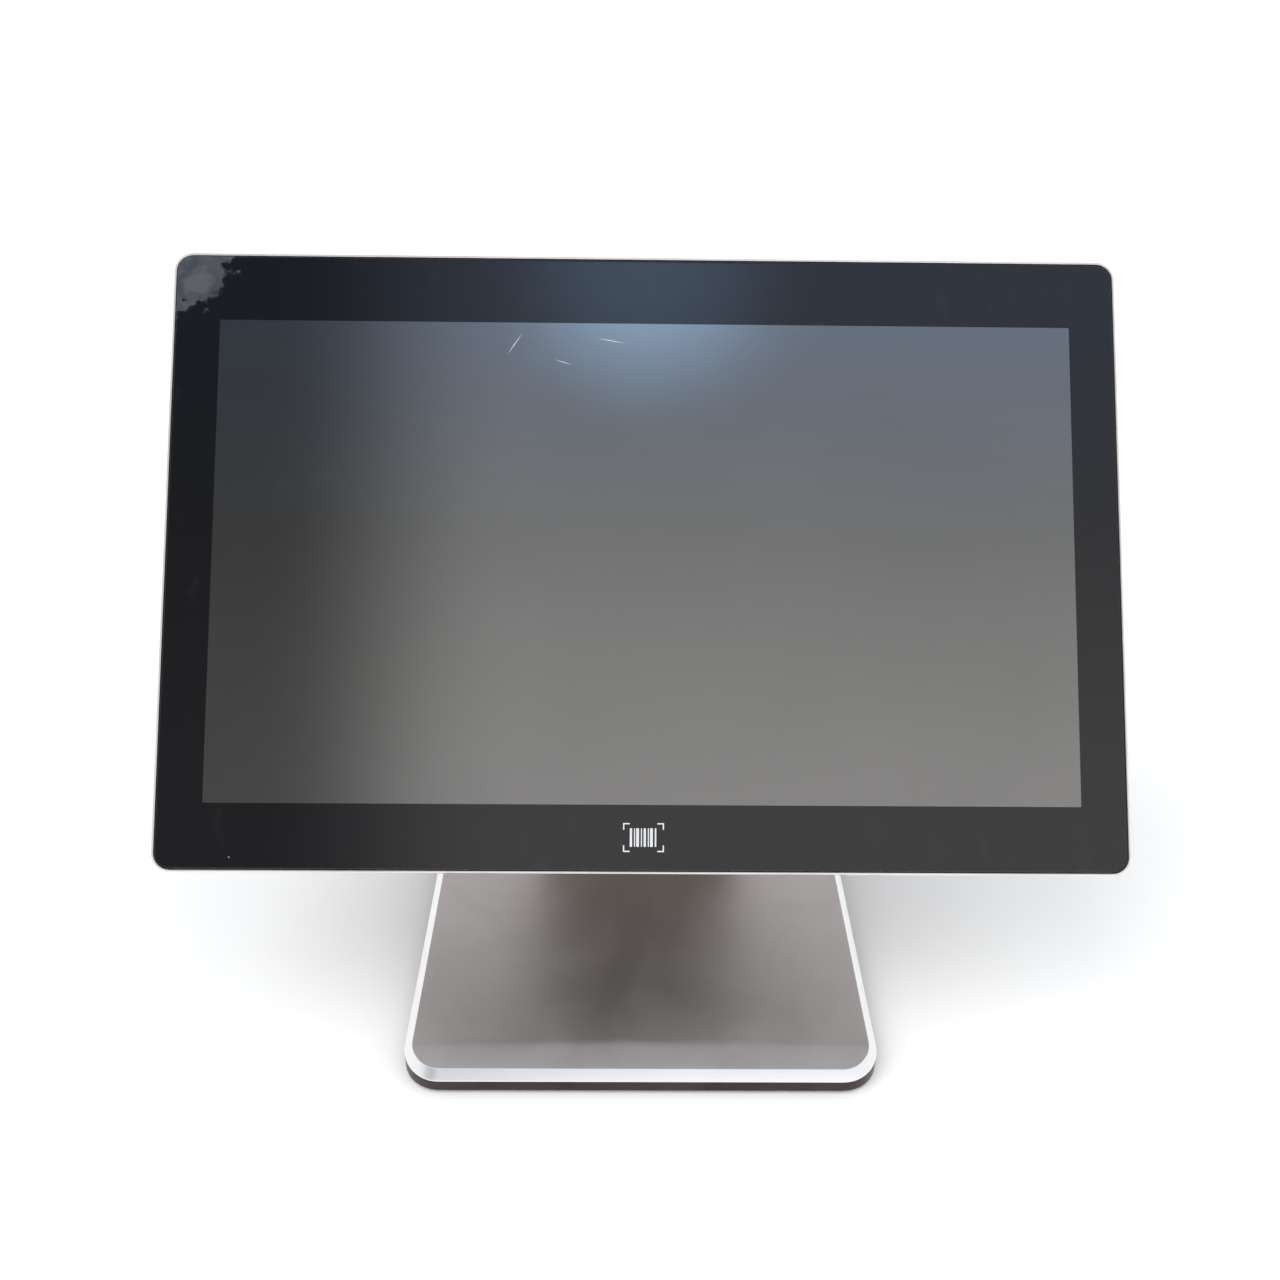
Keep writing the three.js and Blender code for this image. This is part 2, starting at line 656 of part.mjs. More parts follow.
function cpuHeatsink() {
  const upright = [0, HEATSINK.height];
  const base = box(span(0, HEATSINK.width), [ON_BOARD, ON_BOARD + HEATSINK.base], upright);
  const pitch = (HEATSINK.width - BOARD) / (HEATSINK.fins - 1);
  const blades = Array.from({ length: HEATSINK.fins }, (_, i) => {
    const x = -HEATSINK.width / 2 + i * pitch;
    return box([x, x + BOARD], [ON_BOARD + HEATSINK.finRoot, ON_BOARD + HEATSINK.finTop], upright);
  });
  return part("cpu_heatsink", FINISH.aluminium, join(base, ...blades));
}

const MEMORY = { x: [-80, -50], z: [-14, 52], chips: 4 };
const STORAGE = { x: [50, 72], z: [-26, 52], chips: 2 };
const CHIP = { margin: 3, root: 1, proud: 1, share: 0.7 };

// A module lying on the mainboard, with raised chips.
function cardModule(name, { x, z, chips }) {
  const [left, right] = x;
  const [low, high] = z;
  const card = box(x, [ON_BOARD, ON_BOARD + BOARD], z);
  const pitch = (high - low) / chips;
  const blocks = Array.from({ length: chips }, (_, i) =>
    box(
      [left + CHIP.margin, right - CHIP.margin],
      [ON_BOARD + CHIP.root, ON_BOARD + BOARD + CHIP.proud],
      span(low + (i + 0.5) * pitch, pitch * CHIP.share),
    ),
  );
  return part(name, FINISH.board, join(card, ...blocks));
}

const TOUCH_BOARD = { width: 64, bottom: 58.5, top: 70 };
const TOUCH_CHIP = { width: 12, bottom: 60, top: 69, sunk: 0.4, proud: 1.2 };

function touchController() {
  const card = box(
    span(0, TOUCH_BOARD.width),
    [MAINBOARD.front, MAINBOARD.rear],
    [TOUCH_BOARD.bottom, TOUCH_BOARD.top],
  );
  const chip = box(
    span(0, TOUCH_CHIP.width),
    [MAINBOARD.rear - TOUCH_CHIP.sunk, MAINBOARD.rear + TOUCH_CHIP.proud],
    [TOUCH_CHIP.bottom, TOUCH_CHIP.top],
  );
  return part("touch_controller", FINISH.board, join(card, chip));
}

const SPEAKER = { inner: 89, outer: 113, z: -68, height: 24, front: 13, rear: 26, lip: 27.5 };
const SPEAKER_CONE = { radius: 9.5, floor: 24, lipRadius: 11 };

function speaker(side, name) {
  const spanX = onSide(side, SPEAKER.inner, SPEAKER.outer);
  const x = (spanX[0] + spanX[1]) / 2;
  const depths = [SPEAKER.front, SPEAKER.rear];
  const lip = [SPEAKER.rear - BITE, SPEAKER.lip];
  const pit = [SPEAKER_CONE.floor, SPEAKER.lip + PAST];
  const housing = box(spanX, depths, span(SPEAKER.z, SPEAKER.height));
  const cone = rodY(SPEAKER_CONE.radius, pit, x, SPEAKER.z, SEGMENTS.medium);
  const ring = rodY(SPEAKER_CONE.lipRadius, lip, x, SPEAKER.z, SEGMENTS.medium);
  return part(name, FINISH.blackPlastic, cut(join(housing, ring), cone));
}

// ---------------------------------------------------------------- sockets
// Each socket sits on the mainboard's lower edge with its mouth facing down into the cable bay.
const SOCKET = { mouth: -59.2, front: ON_BOARD };
const PIN = { inside: 1, root: 0.5 }; // where a pin or tongue starts and how deep it is rooted
const SOCKETS = {
  dc_inlet: { x: -70, width: 13, height: 11, length: 13 },
  drawer_port: { x: -50, width: 14, height: 12.6, length: 17 },
  lan_port: { x: -30, width: 16, height: 13.4, length: 17 },
  usb_stack_a: { x: -9, width: 14.4, height: 15, length: 17 },
  usb_stack_b: { x: 10, width: 14.4, height: 15, length: 17 },
  video_port: { x: 29, width: 15.4, height: 6.4, length: 12 },
  serial_port: { x: 57, width: 31, height: 12.4, length: 12 },
};
const LATCH = { width: 4.4, height: 2.4, depth: 12, rise: 1 };
const JACK = { depth: 13, lowered: 0.8 };
const BARREL_JACK = { radius: 3.2, depth: 9, pin: 1 };
const USB = { levels: [4, 11], width: 12.4, height: 5, depth: 12 };
const USB_TONGUE = { width: 11, low: 2.1, high: 0.3 };
const VIDEO = { width: 13.9, height: 4.5, depth: 9, tongue: { width: 11, height: 1 } };
const SERIAL = { halfHeight: 3.8, narrow: 7.4, wide: 8.6, depth: 5 };
const STUD = { offset: 12.5, radius: 1.5, depth: 6 };

function socketBody({ x, width, height, length }) {
  const depths = [SOCKET.front, SOCKET.front + height];
  return box(span(x, width), depths, [SOCKET.mouth, SOCKET.mouth + length]);
}

function middleOf({ height }) {
  return SOCKET.front + height / 2;
}

function mouth(width, height, depth, centreX, middleY) {
  const z = [SOCKET.mouth - PAST, SOCKET.mouth + depth];
  return box(span(centreX, width), span(middleY, height), z);
}

function pinDepths(depth) {
  return [SOCKET.mouth + PIN.inside, SOCKET.mouth + depth + PIN.root];
}

function jack(name, slotWidth, slotHeight, material) {
  const socket = SOCKETS[name];
  const middle = middleOf(socket) - JACK.lowered;
  const rise = middle + slotHeight / 2 + LATCH.rise;
  const slot = mouth(slotWidth, slotHeight, JACK.depth, socket.x, middle);
  const latch = mouth(LATCH.width, LATCH.height, LATCH.depth, socket.x, rise);
  return part(name, material, cut(socketBody(socket), slot, latch));
}

function dcInlet() {
  const socket = SOCKETS.dc_inlet;
  const middle = middleOf(socket);
  const depths = [SOCKET.mouth - PAST, SOCKET.mouth + BARREL_JACK.depth];
  const hole = rodZ(BARREL_JACK.radius, depths, socket.x, middle, SEGMENTS.medium);
  const pinSpan = pinDepths(BARREL_JACK.depth);
  const pin = rodZ(BARREL_JACK.pin, pinSpan, socket.x, middle, SEGMENTS.tiny);
  return part("dc_inlet", FINISH.blackPlastic, join(cut(socketBody(socket), hole), pin));
}

function usbStack(name) {
  const socket = SOCKETS[name];
  const levels = USB.levels.map((height) => SOCKET.front + height);
  const slots = levels.map((y) => mouth(USB.width, USB.height, USB.depth, socket.x, y));
  const tongues = levels.map((y) =>
    box(
      span(socket.x, USB_TONGUE.width),
      [y - USB_TONGUE.low, y - USB_TONGUE.high],
      pinDepths(USB.depth),
    ),
  );
  return part(name, FINISH.socket, join(cut(socketBody(socket), ...slots), ...tongues));
}

function videoPort() {
  const socket = SOCKETS.video_port;
  const middle = middleOf(socket);
  const slot = mouth(VIDEO.width, VIDEO.height, VIDEO.depth, socket.x, middle);
  const tongue = box(
    span(socket.x, VIDEO.tongue.width),
    span(middle, VIDEO.tongue.height),
    pinDepths(VIDEO.depth),
  );
  return part("video_port", FINISH.socket, join(cut(socketBody(socket), slot), tongue));
}

function serialPort() {
  const socket = SOCKETS.serial_port;
  const { x } = socket;
  const middle = middleOf(socket);
  const slot = polygon([
    [x - SERIAL.narrow, middle - SERIAL.halfHeight],
    [x + SERIAL.narrow, middle - SERIAL.halfHeight],
    [x + SERIAL.wide, middle + SERIAL.halfHeight],
    [x - SERIAL.wide, middle + SERIAL.halfHeight],
  ]);
  const hollow = flatPlate(slot, [SOCKET.mouth - PAST, SOCKET.mouth + SERIAL.depth]);
  const depths = [SOCKET.mouth - PAST, SOCKET.mouth + STUD.depth];
  const studs = [-STUD.offset, STUD.offset].map((dx) =>
    rodZ(STUD.radius, depths, x + dx, middle, SEGMENTS.tiny),
  );
  return part("serial_port", FINISH.socket, cut(socketBody(socket), hollow, ...studs));
}

// ---------------------------------------------------------------- rear cover
function bumpOutline(inset) {
  const middle = (BUMP.top + BUMP.bottom) / 2;
  const height = BUMP.top - BUMP.bottom - 2 * inset;
  return roundedRectangle(BUMP.width - 2 * inset, height, BUMP.corner, 0, middle);
}

function eachRearScrew(make) {
  const places = [
    [-1, -1],
    [1, -1],
    [-1, 1],
    [1, 1],
  ];
  return places.map(([sx, sz], i) => make(sx * SCREW_AT.x, sz * SCREW_AT.z, i + 1));
}

const VENTS = { rows: [[34, 48], [53, 64]], perRow: 15, pitch: 9, width: 3 };
const SPEAKER_SLOTS = { x: 103, perSide: 5, pitch: 4.5, width: 1.8, z: [-82, -64] };
const SLOT_DEPTHS = [BUMP.rear - 4, BUMP.rear + PAST];

// Upright slots side by side around a middle place.
function slotRow(middleX, count, pitch, width, z) {
  const first = middleX - (pitch * (count - 1)) / 2;
  return Array.from({ length: count }, (_, i) =>
    box(span(first + i * pitch, width), SLOT_DEPTHS, z),
  );
}

function ventSlots() {
  return VENTS.rows.flatMap((z) => slotRow(0, VENTS.perRow, VENTS.pitch, VENTS.width, z));
}

function speakerSlots() {
  const { x, perSide, pitch, width, z } = SPEAKER_SLOTS;
  return [-x, x].flatMap((middle) => slotRow(middle, perSide, pitch, width, z));
}

function portCutouts() {
  return Object.values(SOCKETS).map(({ x, width, height }) =>
    box(
      span(x, width + 2 * SLIP),
      [SOCKET.front - SLIP, SOCKET.front + height + SLIP],
      span(BAY.top, 3 * COVER.wall),
    ),
  );
}

function rearCover() {
  const edge = FRAME.rim;
  const skirt = faceLoft([
    [glassOutline(edge), COVER.front],
    [glassOutline(edge - COVER.chamfer, GLASS.corner), COVER.rear],
  ]);
  const bump = faceLoft([
    [bumpOutline(0), COVER.front + BUMP_ROOT.inside],
    [bumpOutline(0), COVER.rear + BUMP_ROOT.straight],
    [bumpOutline(BUMP.draft), BUMP.rear],
  ]);
  const thinHollow = facePlate(
    glassOutline(edge - COVER.wall - COVER.lip, GLASS.corner - COVER.wall),
    [0, COVER.rear - COVER.wall],
  );
  const bumpHollow = faceLoft([
    [bumpOutline(COVER.wall), COVER.front - BUMP_ROOT.straight],
    [bumpOutline(COVER.wall), COVER.rear + BUMP_ROOT.straight],
    [bumpOutline(COVER.wall + BUMP_ROOT.hollowDraft), BUMP.rear - COVER.wall],
  ]);
  const bayWalls = box(
    [-BAY.halfWidth - COVER.wall, BAY.halfWidth + COVER.wall],
    [COVER.rear - COVER.wall, BUMP.rear + PAST],
    [BAY.bottom - PAST, BAY.top + COVER.wall],
  );
  const bay = box(
    [-BAY.halfWidth, BAY.halfWidth],
    [BAY.front, BUMP.rear + PAST],
    [BAY.bottom - PAST, BAY.top],
  );
  const armSlots = [-1, 1].map((side) =>
    box(
      onSide(side, ARM.inner - SLIP, ARM.outer + SLIP),
      [BUMP.rear - PAST, BUMP.rear + PAST],
      span(HINGE.z, 2 * (ARM.radius + ARM.play)),
    ),
  );
  const screwSeats = eachRearScrew((x, z) =>
    join(
      rodY(REAR_SCREW.seat, [COVER.rear - REAR_SCREW.sunk, COVER.rear + PAST], x, z),
      rodY(REAR_SCREW.hole, [0, COVER.rear + REAR_SCREW.sunk], x, z),
    ),
  );
  const shell = cut(join(skirt, bump), thinHollow, cut(bumpHollow, bayWalls));
  const openings = [
    bay,
    ...armSlots,
    ...screwSeats,
    ...ventSlots(),
    ...speakerSlots(),
    ...portCutouts(),
  ];
  return part("rear_cover", FINISH.blackPlastic, cut(shell, ...openings));
}

function rearScrews() {
  const headFront = COVER.rear - REAR_SCREW.sunk + GAP;
  const crossDepths = [headFront + CROSS.floor, headFront + PAST];
  const shankDepths = [TRAY.sheetFront + BITE, headFront + BITE];
  return eachRearScrew((x, z, number) => {
    const headDepths = [headFront, headFront + REAR_SCREW.thick];
    const head = rodY(REAR_SCREW.head, headDepths, x, z, SEGMENTS.medium);
    const cross = [
      box(span(x, CROSS.length), crossDepths, span(z, CROSS.width)),
      box(span(x, CROSS.width), crossDepths, span(z, CROSS.length)),
    ];
    const shank = rodY(REAR_SCREW.shank, shankDepths, x, z, SEGMENTS.tiny);
    return part(`rear_screw_${number}`, FINISH.steel, join(cut(head, ...cross), shank));
  });
}

const LID = { play: 0.5, thickness: 2.4, foot: 1 };
const LID_LIP = { halfWidth: 20, root: 0.4, proud: 1.6, height: 2 };
const LID_RAIL = { width: 1.8, deep: 9, root: 2, foot: 4, top: 2 };

// A removable lid over the cable bay, with a finger lip along its lower edge.
function cableCover() {
  const half = BAY.halfWidth - LID.play;
  const foot = BAY.bottom + LID.foot;
  const lid = box([-half, half], [BUMP.rear - LID.thickness, BUMP.rear], [foot, BAY.top - GAP]);
  const lip = box(
    [-LID_LIP.halfWidth, LID_LIP.halfWidth],
    [BUMP.rear - LID_LIP.root, BUMP.rear + LID_LIP.proud],
    [foot, foot + LID_LIP.height],
  );
  const rails = [-1, 1].map((side) =>
    box(
      onSide(side, half - LID_RAIL.width, half),
      [BUMP.rear - LID_RAIL.deep, BUMP.rear - LID_RAIL.root],
      [BAY.bottom + LID_RAIL.foot, BAY.top - LID_RAIL.top],
    ),
  );
  return part("cable_cover", FINISH.blackPlastic, join(lid, lip, ...rails));
}

// ---------------------------------------------------------------- power button
function powerButton() {
  const outer = GLASS.width / 2 + FRAME.rim;
  const depths = span(BUTTON.y, BUTTON.width);
  const cap = box([outer - BUTTON.deep, outer - BUTTON.sunk], depths, span(BUTTON.z, BUTTON.length));
  const flange = box(
    [outer - BUTTON_FLANGE.deep, outer - FRAME.wall - GAP],
    span(BUTTON.y, BUTTON.width + BUTTON_FLANGE.wider),
    span(BUTTON.z, BUTTON.length + BUTTON_FLANGE.longer),
  );
  return part("power_button", FINISH.blackPlastic, join(cap, flange));
}

const SWITCH = { inner: 180.4, outer: 185, width: 3.6, length: 6 };
const PLUNGER = { radius: 1.1, tip: 186.7 };

function powerSwitch() {
  const body = box(
    [SWITCH.inner, SWITCH.outer],
    span(BUTTON.y, SWITCH.width),
    span(BUTTON.z, SWITCH.length),
  );
  const travel = [SWITCH.outer - BITE, PLUNGER.tip];
  const plunger = rodX(PLUNGER.radius, travel, BUTTON.y, BUTTON.z, SEGMENTS.small);
  return part("power_switch", FINISH.blackPlastic, join(body, plunger));
}

// ---------------------------------------------------------------- hinge, in the head's frame
const BRIDGE = { half: 96, rear: 31.2, sheet: 2, foot: 106, footFront: TRAY.rear + GAP, root: 1 };
const BRIDGE_Z = span(HINGE.z, 34);

// A steel bridge over the mainboard, with two arms that run out to the tilt axis.
function hingeBridge() {
  const top = box([-BRIDGE.half, BRIDGE.half], [BRIDGE.rear - BRIDGE.sheet, BRIDGE.rear], BRIDGE_Z);
  const legs = [-1, 1].flatMap((side) => [
    box(
      onSide(side, BRIDGE.half - BRIDGE.sheet, BRIDGE.half),
      [BRIDGE.footFront, BRIDGE.rear],
      BRIDGE_Z,
    ),
    box(
      onSide(side, BRIDGE.half - BRIDGE.sheet, BRIDGE.foot),
      [BRIDGE.footFront, BRIDGE.footFront + BRIDGE.sheet],
      BRIDGE_Z,
    ),
  ]);
  const arms = [-1, 1].flatMap((side) => {
    const spanX = onSide(side, ARM.inner, ARM.outer);
    const root = box(spanX, [BRIDGE.rear - BRIDGE.root, HINGE.y], span(HINGE.z, 2 * ARM.radius));
    return [root, rodX(ARM.radius, spanX, HINGE.y, HINGE.z)];
  });
  const bore = rodX(BORE, ACROSS, HINGE.y, HINGE.z);
  return part("hinge_bridge", FINISH.steel, cut(join(top, ...legs, ...arms), bore));
}

function hingeShaft() {
  const shaft = rodX(SHAFT.radius, [-SHAFT.halfLength, SHAFT.halfLength], HINGE.y, HINGE.z);
  return part("hinge_shaft", FINISH.steel, shaft);
}

function ringX(outerShape, spanX, segments) {
  outerShape.holes.push(disc(BORE, HINGE.y, HINGE.z));
  return sidePrism(outerShape, spanX, segments);
}

function frictionWasher(side, name) {
  const outline = disc(WASHER.radius, HINGE.y, HINGE.z);
  const spanX = onSide(side, WASHER.inner, WASHER.outer);
  return part(name, FINISH.brass, ringX(outline, spanX, SEGMENTS.round));
}

const NUT = { corner: 8.6, end: 5 };

function lockNut(side, name) {
  const spanX = onSide(side, ARM.outer + GAP, ARM.outer + NUT.end);
  const corners = Array.from({ length: 6 }, (_, i) => {
    const angle = (i * Math.PI) / 3;
    return [HINGE.y + NUT.corner * Math.cos(angle), HINGE.z + NUT.corner * Math.sin(angle)];
  });
  return part(name, FINISH.steel, ringX(polygon(corners), spanX, SEGMENTS.round));
}

// The housing of one hinge arm: a tongue that starts on the rear cover and ends round on the axis.
function knuckleSolid(radius, front, spanX) {
  const root = box(spanX, [front, HINGE.y], span(HINGE.z, 2 * radius));
  return join(root, rodX(radius, spanX, HINGE.y, HINGE.z));
}

function hingeCover(side, name) {
  const outside = knuckleSolid(
    KNUCKLE.radius,
    BUMP.rear + GAP,
    onSide(side, KNUCKLE.inner, KNUCKLE.outer),
  );
  const pocket = knuckleSolid(
    KNUCKLE.radius - KNUCKLE.wall,
    BUMP.rear - PAST,
    onSide(side, KNUCKLE.inner + KNUCKLE.innerWall, KNUCKLE.outer - KNUCKLE.wall),
  );
  const washerHole = rodX(
    WASHER.radius + SLIP,
    onSide(side, KNUCKLE.inner - PAST, KNUCKLE.inner + PAST),
    HINGE.y,
    HINGE.z,
  );
  return part(name, FINISH.blackPlastic, cut(outside, pocket, washerHole));
}

// ---------------------------------------------------------------- assembly
const head = new THREE.Group();
head.position.set(0, GLASS_CENTRE.y, GLASS_CENTRE.z);
head.rotation.x = -LEAN;
head.add(
  coverGlass(),
  touchSensor(),
  glassAdhesive(),
  frontFrame(),
  lcdPanel(),
  midChassis(),
  mainboard(),
  cpuHeatsink(),
  cardModule("memory_module", MEMORY),
  cardModule("storage_card", STORAGE),
  touchController(),
  speaker(-1, "speaker_left"),
  speaker(1, "speaker_right"),
  dcInlet(),
  jack("drawer_port", 9.8, 7.2, FINISH.blackPlastic),
  jack("lan_port", 11.8, 7.8, FINISH.socket),
  usbStack("usb_stack_a"),
  usbStack("usb_stack_b"),
  videoPort(),
  serialPort(),
  rearCover(),
  ...rearScrews(),
  cableCover(),
  powerButton(),
  powerSwitch(),
  hingeBridge(),
  hingeShaft(),
  frictionWasher(-1, "friction_washer_left"),
  frictionWasher(1, "friction_washer_right"),
  lockNut(-1, "lock_nut_left"),
  lockNut(1, "lock_nut_right"),
  hingeCover(-1, "hinge_cover_left"),
  hingeCover(1, "hinge_cover_right"),
);

const stand = new THREE.Group();
stand.add(
  baseShell(),
  baseBottomPlate(),
  ...baseScrews(),
  ...feet(),
  counterweight(),
  neckBolt(-1, "neck_bolt_left"),
  neckBolt(1, "neck_bolt_right"),
  neckCore(),
  neckFrontShell(),
  neckRearCover(),
  cableGrommet(),
);

const terminal = new THREE.Group();
terminal.add(stand, head);

export default terminal;
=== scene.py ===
"""Countertop point-of-sale touchscreen terminal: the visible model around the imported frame.

Shapes are drawn in millimetres and stored in metres. Head pieces are drawn in the head's own
frame: x to the right, y from the front of the glass towards the rear, z up the screen.
"""
import json
import math

import bmesh
import bpy
from mathutils import Matrix, Vector
from mathutils.geometry import delaunay_2d_cdt

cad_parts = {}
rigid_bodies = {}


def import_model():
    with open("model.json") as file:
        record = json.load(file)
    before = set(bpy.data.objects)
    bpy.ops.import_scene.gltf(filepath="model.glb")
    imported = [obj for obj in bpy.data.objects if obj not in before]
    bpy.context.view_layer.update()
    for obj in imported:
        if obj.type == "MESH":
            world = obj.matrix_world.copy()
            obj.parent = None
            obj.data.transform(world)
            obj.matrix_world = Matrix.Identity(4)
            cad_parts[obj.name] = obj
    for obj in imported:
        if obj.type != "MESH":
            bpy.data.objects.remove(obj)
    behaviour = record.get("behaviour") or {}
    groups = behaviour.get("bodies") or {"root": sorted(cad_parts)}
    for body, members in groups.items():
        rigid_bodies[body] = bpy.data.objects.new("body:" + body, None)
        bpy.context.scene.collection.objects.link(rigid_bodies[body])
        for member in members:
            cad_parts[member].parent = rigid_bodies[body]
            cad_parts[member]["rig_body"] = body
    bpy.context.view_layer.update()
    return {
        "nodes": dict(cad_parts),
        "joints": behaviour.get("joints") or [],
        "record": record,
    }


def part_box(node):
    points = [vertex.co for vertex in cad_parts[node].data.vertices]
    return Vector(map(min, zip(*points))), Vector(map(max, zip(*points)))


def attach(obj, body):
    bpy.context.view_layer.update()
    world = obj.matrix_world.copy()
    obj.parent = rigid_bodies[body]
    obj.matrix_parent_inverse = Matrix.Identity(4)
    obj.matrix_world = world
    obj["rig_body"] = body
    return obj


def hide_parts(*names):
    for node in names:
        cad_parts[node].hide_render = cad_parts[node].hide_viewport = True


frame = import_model()

MM = 0.001
NODES = frame["nodes"]
SLOT_OF = {s["node"]: s["material_slot"] for s in frame["record"]["subparts"]}
JOINTS = {j["name"]: j for j in frame["joints"]}

# ---------------------------------------------------------------- places read from the frame
GLASS_THICKNESS = 2.0
UP = -Vector(JOINTS["cable_cover_slide"]["axis"]).normalized()
SIDE = Vector((1, 0, 0))
REAR = UP.cross(SIDE)
glass_low, glass_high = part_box("cover_glass")
HEAD_ORIGIN = (glass_low + glass_high) / 2 - REAR * (GLASS_THICKNESS / 2 * MM)
HEAD = Matrix.Translation(HEAD_ORIGIN) @ Matrix((SIDE, REAR, UP)).transposed().to_4x4()
ROW = Matrix.Identity(4)
AXIS = Vector(JOINTS["head_tilt"]["pos_m"]) / MM

base_low, base_high = (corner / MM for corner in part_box("base_shell"))
NECK_FOOT_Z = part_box("neck_front_shell")[0].z / MM

# ---------------------------------------------------------------- dimensions of the pieces, in mm
GLASS = {"width": 380.0, "height": 245.4, "corner": 6.0}
LIT = {"width": 344.2, "height": 193.6, "middle": -0.6}
FRAME = {"rim": 1.6, "front": 0.3, "ledge": 3.3, "pocket": 4.8, "rear": 10.0, "wall": 1.8, "gap": 0.3}
GLASS_EDGE = {"flat": 1.2, "soft": 0.35}  # width of the edge's band, rounding of its front
WINDOW = {"width": 362.0, "height": 221.0, "corner": 2.0}
BUTTON = {"y": (5.4, 8.4), "z": (-91.0, -79.0), "play": 0.3}  # the power button in the rim
COVER = {"front": 10.3, "rear": 14.0, "chamfer": 3.5, "lip": 0.5, "wall": 2.0, "inner_step": 1.6}
BUMP = {"width": 250.0, "bottom": -91.0, "top": 74.0, "rear": 34.0, "draft": 7.0, "corner": 12.0}
BAY = {"half": 82.0, "bottom": -91.0, "top": -58.0, "front": 14.3}
COVER_SCREW = {"x": 170.0, "z": 105.0, "head": 4.0, "shank": 1.8}
VENTS = {"first": -63.0, "pitch": 9.0, "count": 15, "width": 3.0, "rows": ((41.0, 14.0), (58.5, 11.0))}
GRILLE = {"x": 103.0, "z": -73.0, "pitch": 4.5, "width": 1.8, "height": 18.0}
BASE = {"corner": 15.5, "wall": 3.0, "ceiling": 2.5, "flat": 7.0}
DECK_HOLE = {"half": 46.8, "front": 57.0, "rear": 76.0}
CHAMFER = {"inset": 3.4, "height": 2.6}
NOSE = {"bend": -85.0, "slope": 0.21, "soft": 2.2}
NECK = {"half": 50.0, "wall": 2.5, "front": 46.0, "rear": 86.0, "barrel": 15.0, "lid_top": 6.0}
NECK_ROUNDING = ((1.4, 0.0), (0.82, 0.11), (0.41, 0.41), (0.11, 0.82), (0.0, 1.4))  # inset, setback
SHAFT_EYE = 9.5  # radius of the holes round the hinge shaft
ARM = {"inner": 53.0, "outer": 57.0, "radius": 11.0, "z": -25.0, "slit": 0.5}
KNUCKLE = {"inner": 50.6, "outer": 66.0, "radius": 15.0, "wall": 2.0, "inner_wall": 1.6, "soft": 1.4}
PAST = 5.0  # how far a cutting solid reaches beyond the surface that it opens
SHARP_DEG = 32.0  # edges steeper than this stay sharp, or are bevelled
METAL_SOCKETS = ("lan_port", "usb_stack_a", "usb_stack_b", "video_port", "serial_port")
PLASTIC_SOCKETS = ("dc_inlet", "drawer_port")


# ---------------------------------------------------------------- outlines and solids
def rounded(width, height, radius, steps=8, x=0.0, y=0.0):
    """A rounded rectangle, anticlockwise, with the same number of points whatever its size."""
    points = []
    for turn, (sx, sy) in enumerate(((1, -1), (1, 1), (-1, 1), (-1, -1))):
        cx, cy = x + sx * (width / 2 - radius), y + sy * (height / 2 - radius)
        for i in range(steps + 1):
            a = math.pi / 2 * (turn - 1 + i / steps)
            points.append((cx + radius * math.cos(a), cy + radius * math.sin(a)))
    return points


def circle(radius, x=0.0, y=0.0, steps=48):
    turns = (2 * math.pi * i / steps for i in range(steps))
    return [(x + radius * math.cos(a), y + radius * math.sin(a)) for a in turns]


def eased(points, setbacks, steps=4):
    """A polyline with each inner corner replaced by a curve that starts a setback away from it."""
    made = [Vector(points[0])]
    for before, here, after, back in zip(points, points[1:], points[2:], setbacks):
        here = Vector(here)
        start = here + (Vector(before) - here).normalized() * back
        end = here + (Vector(after) - here).normalized() * back
        for i in range(steps + 1):
            t = i / steps
            made.append(start * (1 - t) ** 2 + here * 2 * t * (1 - t) + end * t * t)
    made.append(Vector(points[-1]))
    return made


def on_xy(outline, z):
    return [(x, y, z) for x, y in outline]


def on_xz(outline, y):
    return [(x, y, z) for x, z in outline]


def on_yz(outline, x):
    return [(x, y, z) for y, z in outline]


def loft(rings, closed=False, capped=True):
    """A skin through rings of equal point counts, capped at its ends or closed on itself."""
    made = bmesh.new()
    rows = [[made.verts.new(p) for p in ring] for ring in rings]
    pairs = list(zip(rows, rows[1:]))
    if closed:
        pairs.append((rows[-1], rows[0]))
    for under, over in pairs:
        for i in range(len(under)):
            j = (i + 1) % len(under)
            made.faces.new((under[i], under[j], over[j], over[i]))
    if capped and not closed:
        made.faces.new(rows[0])
        made.faces.new(rows[-1])
    bmesh.ops.recalc_face_normals(made, faces=made.faces)
    return made


def block(x, y, z):
    outline = [(x[0], y[0]), (x[1], y[0]), (x[1], y[1]), (x[0], y[1])]
    return loft([on_xy(outline, z[0]), on_xy(outline, z[1])])


def rod_y(radius, y, x, z, steps=32):
    outline = circle(radius, x, z, steps)
    return loft([on_xz(outline, y[0]), on_xz(outline, y[1])])


def rod_x(radius, x, y, z, steps=64):
    outline = circle(radius, y, z, steps)
    return loft([on_yz(outline, x[0]), on_yz(outline, x[1])])


def together(solids):
    """Several solids that don't touch, as one mesh."""
    made = bmesh.new()
    for solid in solids:
        held = bpy.data.meshes.new("held")
        solid.to_mesh(held)
        solid.free()
        made.from_mesh(held)
        bpy.data.meshes.remove(held)
    return made


def holder(solid):
    mesh = bpy.data.meshes.new("solid")
    solid.to_mesh(mesh)
    solid.free()
    made = bpy.data.objects.new("solid", mesh)
    bpy.context.scene.collection.objects.link(made)
    return made


def drop(obj):
    mesh = obj.data
    bpy.data.objects.remove(obj)
    bpy.data.meshes.remove(mesh)


def combine(first, other, operation):
    """The exact join or cut of two closed solids."""
    target, tool = holder(first), holder(other)
    step = target.modifiers.new("step", "BOOLEAN")
    step.operation, step.object, step.solver = operation, tool, "EXACT"
    bpy.context.view_layer.update()
    result = bmesh.new()
    result.from_object(target, bpy.context.evaluated_depsgraph_get())
    drop(target)
    drop(tool)
    return result


